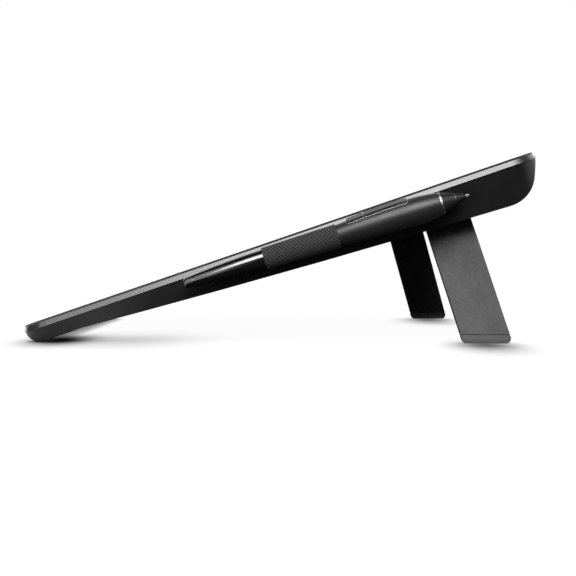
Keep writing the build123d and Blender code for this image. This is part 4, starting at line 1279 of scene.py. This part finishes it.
@dataclass
class ConeCollar(Part):
    """Fine bead round the cone, where its front end is pressed in."""

    pen: Datum
    place: float = 0.0077
    bead: float = 0.0001
    steps_round: int = 48
    bead_steps: int = 8
    reach: float = 0.02

    def build(self) -> None:
        """Builds the bead on the cone's skin."""
        skin = skin_of("pen_cone")
        turn = self.pen.matrix.to_3x3()
        spot = skin.ray_cast(self.pen.world(self.place, self.reach, 0), turn @ Vector((0, -1, 0)))[0]
        radius = self.pen.local(spot).y
        mesh = bmesh.new()
        rings = []
        for step in range(self.steps_round):
            around = 2 * math.pi * step / self.steps_round
            ring = []
            for part in range(self.bead_steps):
                angle = 2 * math.pi * part / self.bead_steps
                out = radius + self.bead * math.cos(angle)
                along = self.place + self.bead * math.sin(angle)
                ring.append(mesh.verts.new(self.pen.world(along, out * math.cos(around), out * math.sin(around))))
            rings.append(ring)
        for first, second in zip(rings, rings[1:] + rings[:1]):
            belt(mesh, first, second)
        data = finished("cone collar", mesh)
        piece = make_piece("cone_collar", data, COLLAR_METAL.material(), "pen")
        log.info("built %s, %.2f mm across", piece.name, 2 * radius / MM)


@dataclass
class PenLoop(Part):
    """Ribbed elastic loop: one band that wraps the pen and runs into the wall of the housing."""

    pen: Datum
    rib_count: int = 24
    rib_relief: float = 0.0002
    rib_lean: float = 15.0
    rib_bend: float = 1.2
    thickness: float = 0.0004
    tail_share: float = 0.88
    steps_along: int = 288
    steps_round: int = 96
    steps_tail: int = 10
    hem: float = 0.0012
    end_span: float = 0.0002
    tail_spread: float = 0.9
    tail_turn: float = 0.55
    skin_gap: float = 0.00002

    def measure(self) -> None:
        """Reads the sizes of the loop and its tail from the node."""
        places = [self.pen.local(point) for point in node_points("pen_loop")]
        self.start = min(place.x for place in places)
        self.end = max(place.x for place in places)
        self.wall = min(place.y for place in places)
        outer = [place for place in places if place.y > 0]
        self.start_radius = max(place.yz.length for place in outer if place.x < self.start + self.end_span)
        self.end_radius = max(place.yz.length for place in outer if place.x > self.end - self.end_span)

    def radius(self, share: float) -> float:
        """Gives the outer radius of the band at a share of its width, from tip side to tail side."""
        return self.start_radius + (self.end_radius - self.start_radius) * share

    def route(self, share: float) -> list[tuple[float, float, float, float]]:
        """Gives the band's middle line in cross-section.

        Args:
            share: where the section is, from 0 at the tip side to 1 at the tail side.

        Returns:
            Points as (y, z, normal y, normal z), from the end of the upper tail round the pen to the lower tail.
        """
        radius = self.radius(share) - self.thickness / 2 - self.rib_relief
        tail_half = self.thickness * self.tail_spread
        turn = math.asin(min(1.0, tail_half / radius)) + self.tail_turn
        points = []
        joint_y, joint_z = -radius * math.cos(turn), radius * math.sin(turn)
        for step in range(self.steps_tail):
            part = step / self.steps_tail
            ease = part * part * (3 - 2 * part)
            points.append((self.wall + (joint_y - self.wall) * part, tail_half + (joint_z - tail_half) * ease ** 2))
        for step in range(self.steps_round + 1):
            angle = math.pi - turn - (2 * math.pi - 2 * turn) * step / self.steps_round
            points.append((radius * math.cos(angle), radius * math.sin(angle)))
        points += [(y, -z) for y, z in reversed(points[: self.steps_tail])]
        result = []
        for index, (y, z) in enumerate(points):
            before = points[max(0, index - 1)]
            after = points[min(len(points) - 1, index + 1)]
            dy, dz = after[0] - before[0], after[1] - before[1]
            length = math.hypot(dy, dz)
            result.append((y, z, -dz / length, dy / length))
        return result

    def width_at(self, route_share: float) -> float:
        """Gives the band's width as a share, narrower where it enters the slot in the wall."""
        tail = self.steps_tail / (2 * self.steps_tail + self.steps_round)
        nearness = min(1.0, min(route_share, 1 - route_share) / tail)
        return self.tail_share + (1 - self.tail_share) * nearness

    def strand(self, mesh: bmesh.types.BMesh, groove: bmesh.types.BMLayerItem, share: float, side: int) -> Ring:
        """Lays one line of corners along the band, on one of its two sides.

        Args:
            mesh: the edit mesh.
            groove: the layer that holds how deep in a groove a corner lies, which the loop's material turns into
                painted shade.
            share: where the line is, from 0 at the tip side to 1 at the tail side.
            side: 1 for the ribbed outside, -1 for the plain inside.

        Returns:
            The corners, from the end of the upper tail to that of the lower one.
        """
        width = self.end - self.start
        hem = min(1.0, min(share, 1 - share) * width / self.hem)
        rounding = self.thickness / 2 * math.sqrt(max(0.0, 1 - (1 - min(1.0, hem * 2)) ** 2))
        route = self.route(share)
        line = []
        for index, (y, z, normal_y, normal_z) in enumerate(route):
            route_share = index / (len(route) - 1)
            place = (share - 0.5) * self.width_at(route_share) + 0.5
            lean = self.rib_lean * (route_share + self.rib_bend * (route_share - 0.5) ** 2)
            wave = math.cos(2 * math.pi * (share * self.rib_count + lean)) * hem
            rise = self.rib_relief * wave * hem if side > 0 else 0.0
            out = -(side * (rounding + self.skin_gap) + rise)
            spot = self.pen.world(self.start + place * width, y + out * normal_y, z + out * normal_z)
            corner = mesh.verts.new(spot)
            # How deep in a groove the corner lies, for the painted shade of the grooves.
            corner[groove] = 0.5 - 0.5 * wave
            line.append(corner)
        return line

    def build(self) -> None:
        """Builds the band as a thin closed sheet with diagonal ribs on its outside."""
        self.measure()
        mesh = bmesh.new()
        # Layer of groove depth, which the loop's material turns into painted shade.
        groove = mesh.verts.layers.float.new(GROOVE_SHADE)
        shares = [step / self.steps_along for step in range(self.steps_along + 1)]
        outer, inner = ([self.strand(mesh, groove, share, side) for share in shares] for side in (1, -1))
        around = [outer_line + inner_line[::-1] for outer_line, inner_line in zip(outer, inner)]
        for first, second in zip(around, around[1:]):
            belt(mesh, first, second)
        for outer_line, inner_line in ((outer[0], inner[0]), (outer[-1], inner[-1])):
            for index in range(len(outer_line) - 1):
                following = index + 1
                corners = (outer_line[index], outer_line[following], inner_line[following], inner_line[index])
                mesh.faces.new(corners)
        data = finished("textile loop", mesh)
        piece = make_piece("textile_loop", data, TEXTILE.material(), "tablet")
        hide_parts("pen_loop")
        route = self.route(0.0)


@dataclass(frozen=True)
class Shadow:
    """A soft shadow that the floor keeps under a piece, and that goes when the piece moves away."""

    node: str
    middle: Pair
    reach: Pair
    depth: float
    travel: float = 0.01

    def place(self, wiring: Wiring) -> bpy.types.NodeSocket:
        """Places the shadow in the floor's material.

        Args:
            wiring: the wiring of the material's tree.

        Returns:
            The socket of the light it leaves.
        """
        spot = wiring.spot()
        ridden = wiring.add("ShaderNodeTexCoord", object=frame["nodes"][self.node]).outputs["Object"]
        moved = wiring.add("ShaderNodeVectorMath", operation="DISTANCE")
        wiring.feed(moved.inputs[0], spot)
        wiring.feed(moved.inputs[1], ridden)
        parts = wiring.split(spot)
        patch = wiring.add("ShaderNodeGroup", node_tree=EFFECTS["patch"])
        for axis, middle, reach in zip("XY", self.middle, self.reach):
            offset = wiring.maths("SUBTRACT", parts.outputs[axis], middle)
            wiring.feed(patch.inputs[axis], wiring.maths("DIVIDE", offset, reach))
        wiring.feed(patch.inputs["Moved"], wiring.maths("DIVIDE", moved.outputs["Value"], self.travel))
        patch.inputs["Depth"].default_value = self.depth
        return patch.outputs["Light"]


@dataclass
class Studio:
    """Pale floor, soft lamps and the camera of the photograph."""

    floor_size: float = 18.0
    floor_colour: Colour = (0.86, 0.86, 0.86)
    floor_shown: Colour = (0.15, 0.15, 0.15)
    floor_glow: float = 0.97
    # Reach and depth of the painted contact shadow in the floor's glow.
    contact_shadow_reach: float = 0.004
    contact_shadow_depth: float = 0.8
    tone_power: float = 2.2
    shadows: tuple[Shadow, ...] = (
        Shadow("rear_shell", (0.172, -0.1195), (0.057, 0.0145), 0.93),
        Shadow("rear_shell", (0.18, -0.088), (0.085, 0.037), 0.2),
        Shadow("leg_foot_right", (0.231, 0.106), (0.034, 0.0125), 0.6),
        Shadow("leg_foot_right", (0.265, 0.1045), (0.06, 0.0165), 0.3),
        Shadow("leg_foot_left", (-0.193, 0.107), (0.032, 0.0125), 0.5),
        Shadow("leg_foot_left", (-0.15, 0.1045), (0.065, 0.0165), 0.32),
    )
    cloth: Colour = (0.01, 0.01, 0.01)
    ambient: float = 0.28
    contact_samples: int = 12
    camera_place: Place = (1.246, 0.0040, 0.0443)
    lens: float = 123.1
    shift_y: float = -0.0504
    clip_start: float = 0.05

    @staticmethod
    def stand(item: bpy.types.Object, place: Place, target: Place) -> None:
        """Puts an object in its place, and turns it to face a target."""
        item.location = place
        item.rotation_euler = (Vector(target) - Vector(place)).to_track_quat("-Z", "Y").to_euler()

    @staticmethod
    def plane(name: str, width: float, height: float) -> bpy.types.Mesh:
        """Makes a flat rectangle about its own middle.

        Args:
            name: the mesh's name.
            width: its size along X.
            height: its size along Y.

        Returns:
            The mesh.
        """
        mesh = bpy.data.meshes.new(name)
        corners = [(x * width / 2, y * height / 2, 0) for x, y in ((-1, -1), (1, -1), (1, 1), (-1, 1))]
        mesh.from_pydata(corners, [], [(0, 1, 2, 3)])
        return mesh

    @staticmethod
    def matte(name: str) -> tuple[bpy.types.Material, Wiring, bpy.types.Node]:
        """Makes a material without gloss.

        Args:
            name: the material's name.

        Returns:
            The material, the wiring of its tree, and its Principled BSDF.
        """
        material, wiring, shader = new_material(name)
        shader.inputs["Roughness"].default_value = 1.0
        shader.inputs["Specular IOR Level"].default_value = 0.0
        return material, wiring, shader

    def lamp(self, name: str, place: Place, target: Place, size: Pair, power: float) -> None:
        """Hangs one rectangular soft lamp.

        Args:
            name: the lamp's name.
            place: where it hangs.
            target: where it points.
            size: its width and height.
            power: its power in watts.
        """
        light = bpy.data.lights.new(name, "AREA")
        light.shape = "RECTANGLE"
        light.size, light.size_y = size
        light.energy = power
        self.stand(add_object(name, light), place, target)

    def flag(self, name: str, place: Place, target: Place, size: Pair) -> None:
        """Stands one dark flag out of the picture, which darkens what the object mirrors from that side.

        Args:
            name: the flag's name.
            place: where its middle stands.
            target: where it faces.
            size: its width and height.
        """
        mesh = self.plane(name, *size)
        item = add_object(name, mesh)
        self.stand(item, place, target)
        item.visible_camera = False
        item.visible_shadow = False
        material, wiring, shader = self.matte(name)
        cloth = wiring.noise(wiring.spot(), 40.0, detail=2.0, rough=0.5)
        wiring.feed(shader.inputs["Base Color"], wiring.mix(cloth, shade(self.cloth, 1), shade(self.cloth, 2)))
        mesh.materials.append(material)

    def seen(self, wiring: Wiring) -> bpy.types.NodeSocket:
        """Gives 1 for the rays that show the background: straight from the camera, by gloss or through glass."""
        path = wiring.add("ShaderNodeLightPath")
        either = wiring.maths("MAXIMUM", path.outputs["Is Camera Ray"], path.outputs["Is Glossy Ray"])
        return wiring.maths("MAXIMUM", either, path.outputs["Is Transmission Ray"])

    def floor(self) -> None:
        """Lays the pale floor, white to the camera but for the shadows under what stands on it."""
        mesh = self.plane("studio floor", self.floor_size, self.floor_size)
        item = add_object("studio_floor", mesh)
        material, wiring, shader = self.matte("studio floor")
        mottle = wiring.noise(wiring.spot(), 3.0, detail=2.0, rough=0.5)
        colour = wiring.mix(mottle, shade(self.floor_colour, 0.99), shade(self.floor_colour, 1.01))
        seen = self.seen(wiring)
        wiring.feed(shader.inputs["Base Color"], wiring.mix(seen, colour, shade(self.floor_shown, 1)))
        shader.inputs["Emission Color"].default_value = (1, 1, 1, 1)
        # Painted contact shadow: the glow darkens where something comes within a few millimetres of the floor.
        contact = wiring.add("ShaderNodeAmbientOcclusion", samples=self.contact_samples)
        contact.inputs["Distance"].default_value = self.contact_shadow_reach
        contact_shade = wiring.remap(contact.outputs["AO"], 0.0, 1.0, 1 - self.contact_shadow_depth)
        # Painted soft shadows round the nose and the feet darken the glow further.
        soft: object = 1.0
        for shadow in self.shadows:
            soft = wiring.maths("MULTIPLY", soft, shadow.place(wiring))
        soft = wiring.maths("POWER", soft, self.tone_power)
        level = wiring.maths("MULTIPLY", wiring.maths("MULTIPLY", contact_shade, soft), self.floor_glow)
        wiring.feed(shader.inputs["Emission Strength"], wiring.maths("MULTIPLY", seen, level))
        mesh.materials.append(material)

    def world(self) -> None:
        """Sets the surroundings: white where they show, and a softer light on the object."""
        world = bpy.data.worlds.new("studio")
        bpy.context.scene.world = world
        world.use_nodes = True
        wiring = Wiring(world.node_tree)
        lighting = world.node_tree.nodes["Background"]
        lighting.inputs["Color"].default_value = (1, 1, 1, 1)
        level = wiring.remap(self.seen(wiring), 0.0, 1.0, self.ambient)
        wiring.feed(lighting.inputs["Strength"], level)

    def camera(self) -> None:
        """Sets up the camera, level and square to the tablet's side."""
        data = bpy.data.cameras.new("camera")
        data.lens = self.lens
        data.shift_y = self.shift_y
        data.clip_start = self.clip_start
        item = add_object("camera", data)
        item.location = self.camera_place
        item.rotation_euler = (math.pi / 2, 0, math.pi / 2)
        bpy.context.scene.camera = item

    def build(self) -> None:
        """Sets up the whole studio."""
        self.camera()
        self.floor()
        self.world()
        self.flag("side_flag", (2.2, 1.2, 0.4), (0, 1.2, 0.4), (3.2, 1.2))
        self.flag("table_flag", (1.15, 0.87, 0.002), (1.15, 0.87, 1.0), (2.8, 1.9))
        self.flag("top_flag", (-0.2, 0.0, 1.4), (-0.2, 0.0, 0.0), (2.1, 2.4))
        self.lamp("overhead", (-0.35, -0.1, 1.5), (0, 0, 0), (1.8, 1.4), 6.0)
        self.flag("front_flag", (0.1, -1.3, 0.8), (0.1, 0, 0.8), (1.6, 1.7))
        self.lamp("key softbox", (1.24, 0.0, 0.92), (0.2, 0.0, 0.06), (1.0, 0.8), 13.0)
        bpy.context.scene.view_settings.view_transform = "Standard"
        log.info("set up the studio")


def main() -> None:
    """Builds the studio, then each sub-assembly in turn."""
    logging.basicConfig(level=logging.INFO, format="%(name)s: %(message)s")
    deck, pen = find_deck(), find_pen()
    Studio().build()
    parts: list[Part] = [
        Tablet(deck), HousingScrews(deck), Legs(), FootSeams(), Pen(), KeyDetail(pen), ConeCollar(pen),
        PenLoop(pen),
    ]
    for part in parts:
        part.build()
        log.info("finished %s", type(part).__name__)


if __name__ == "__main__":
    main()
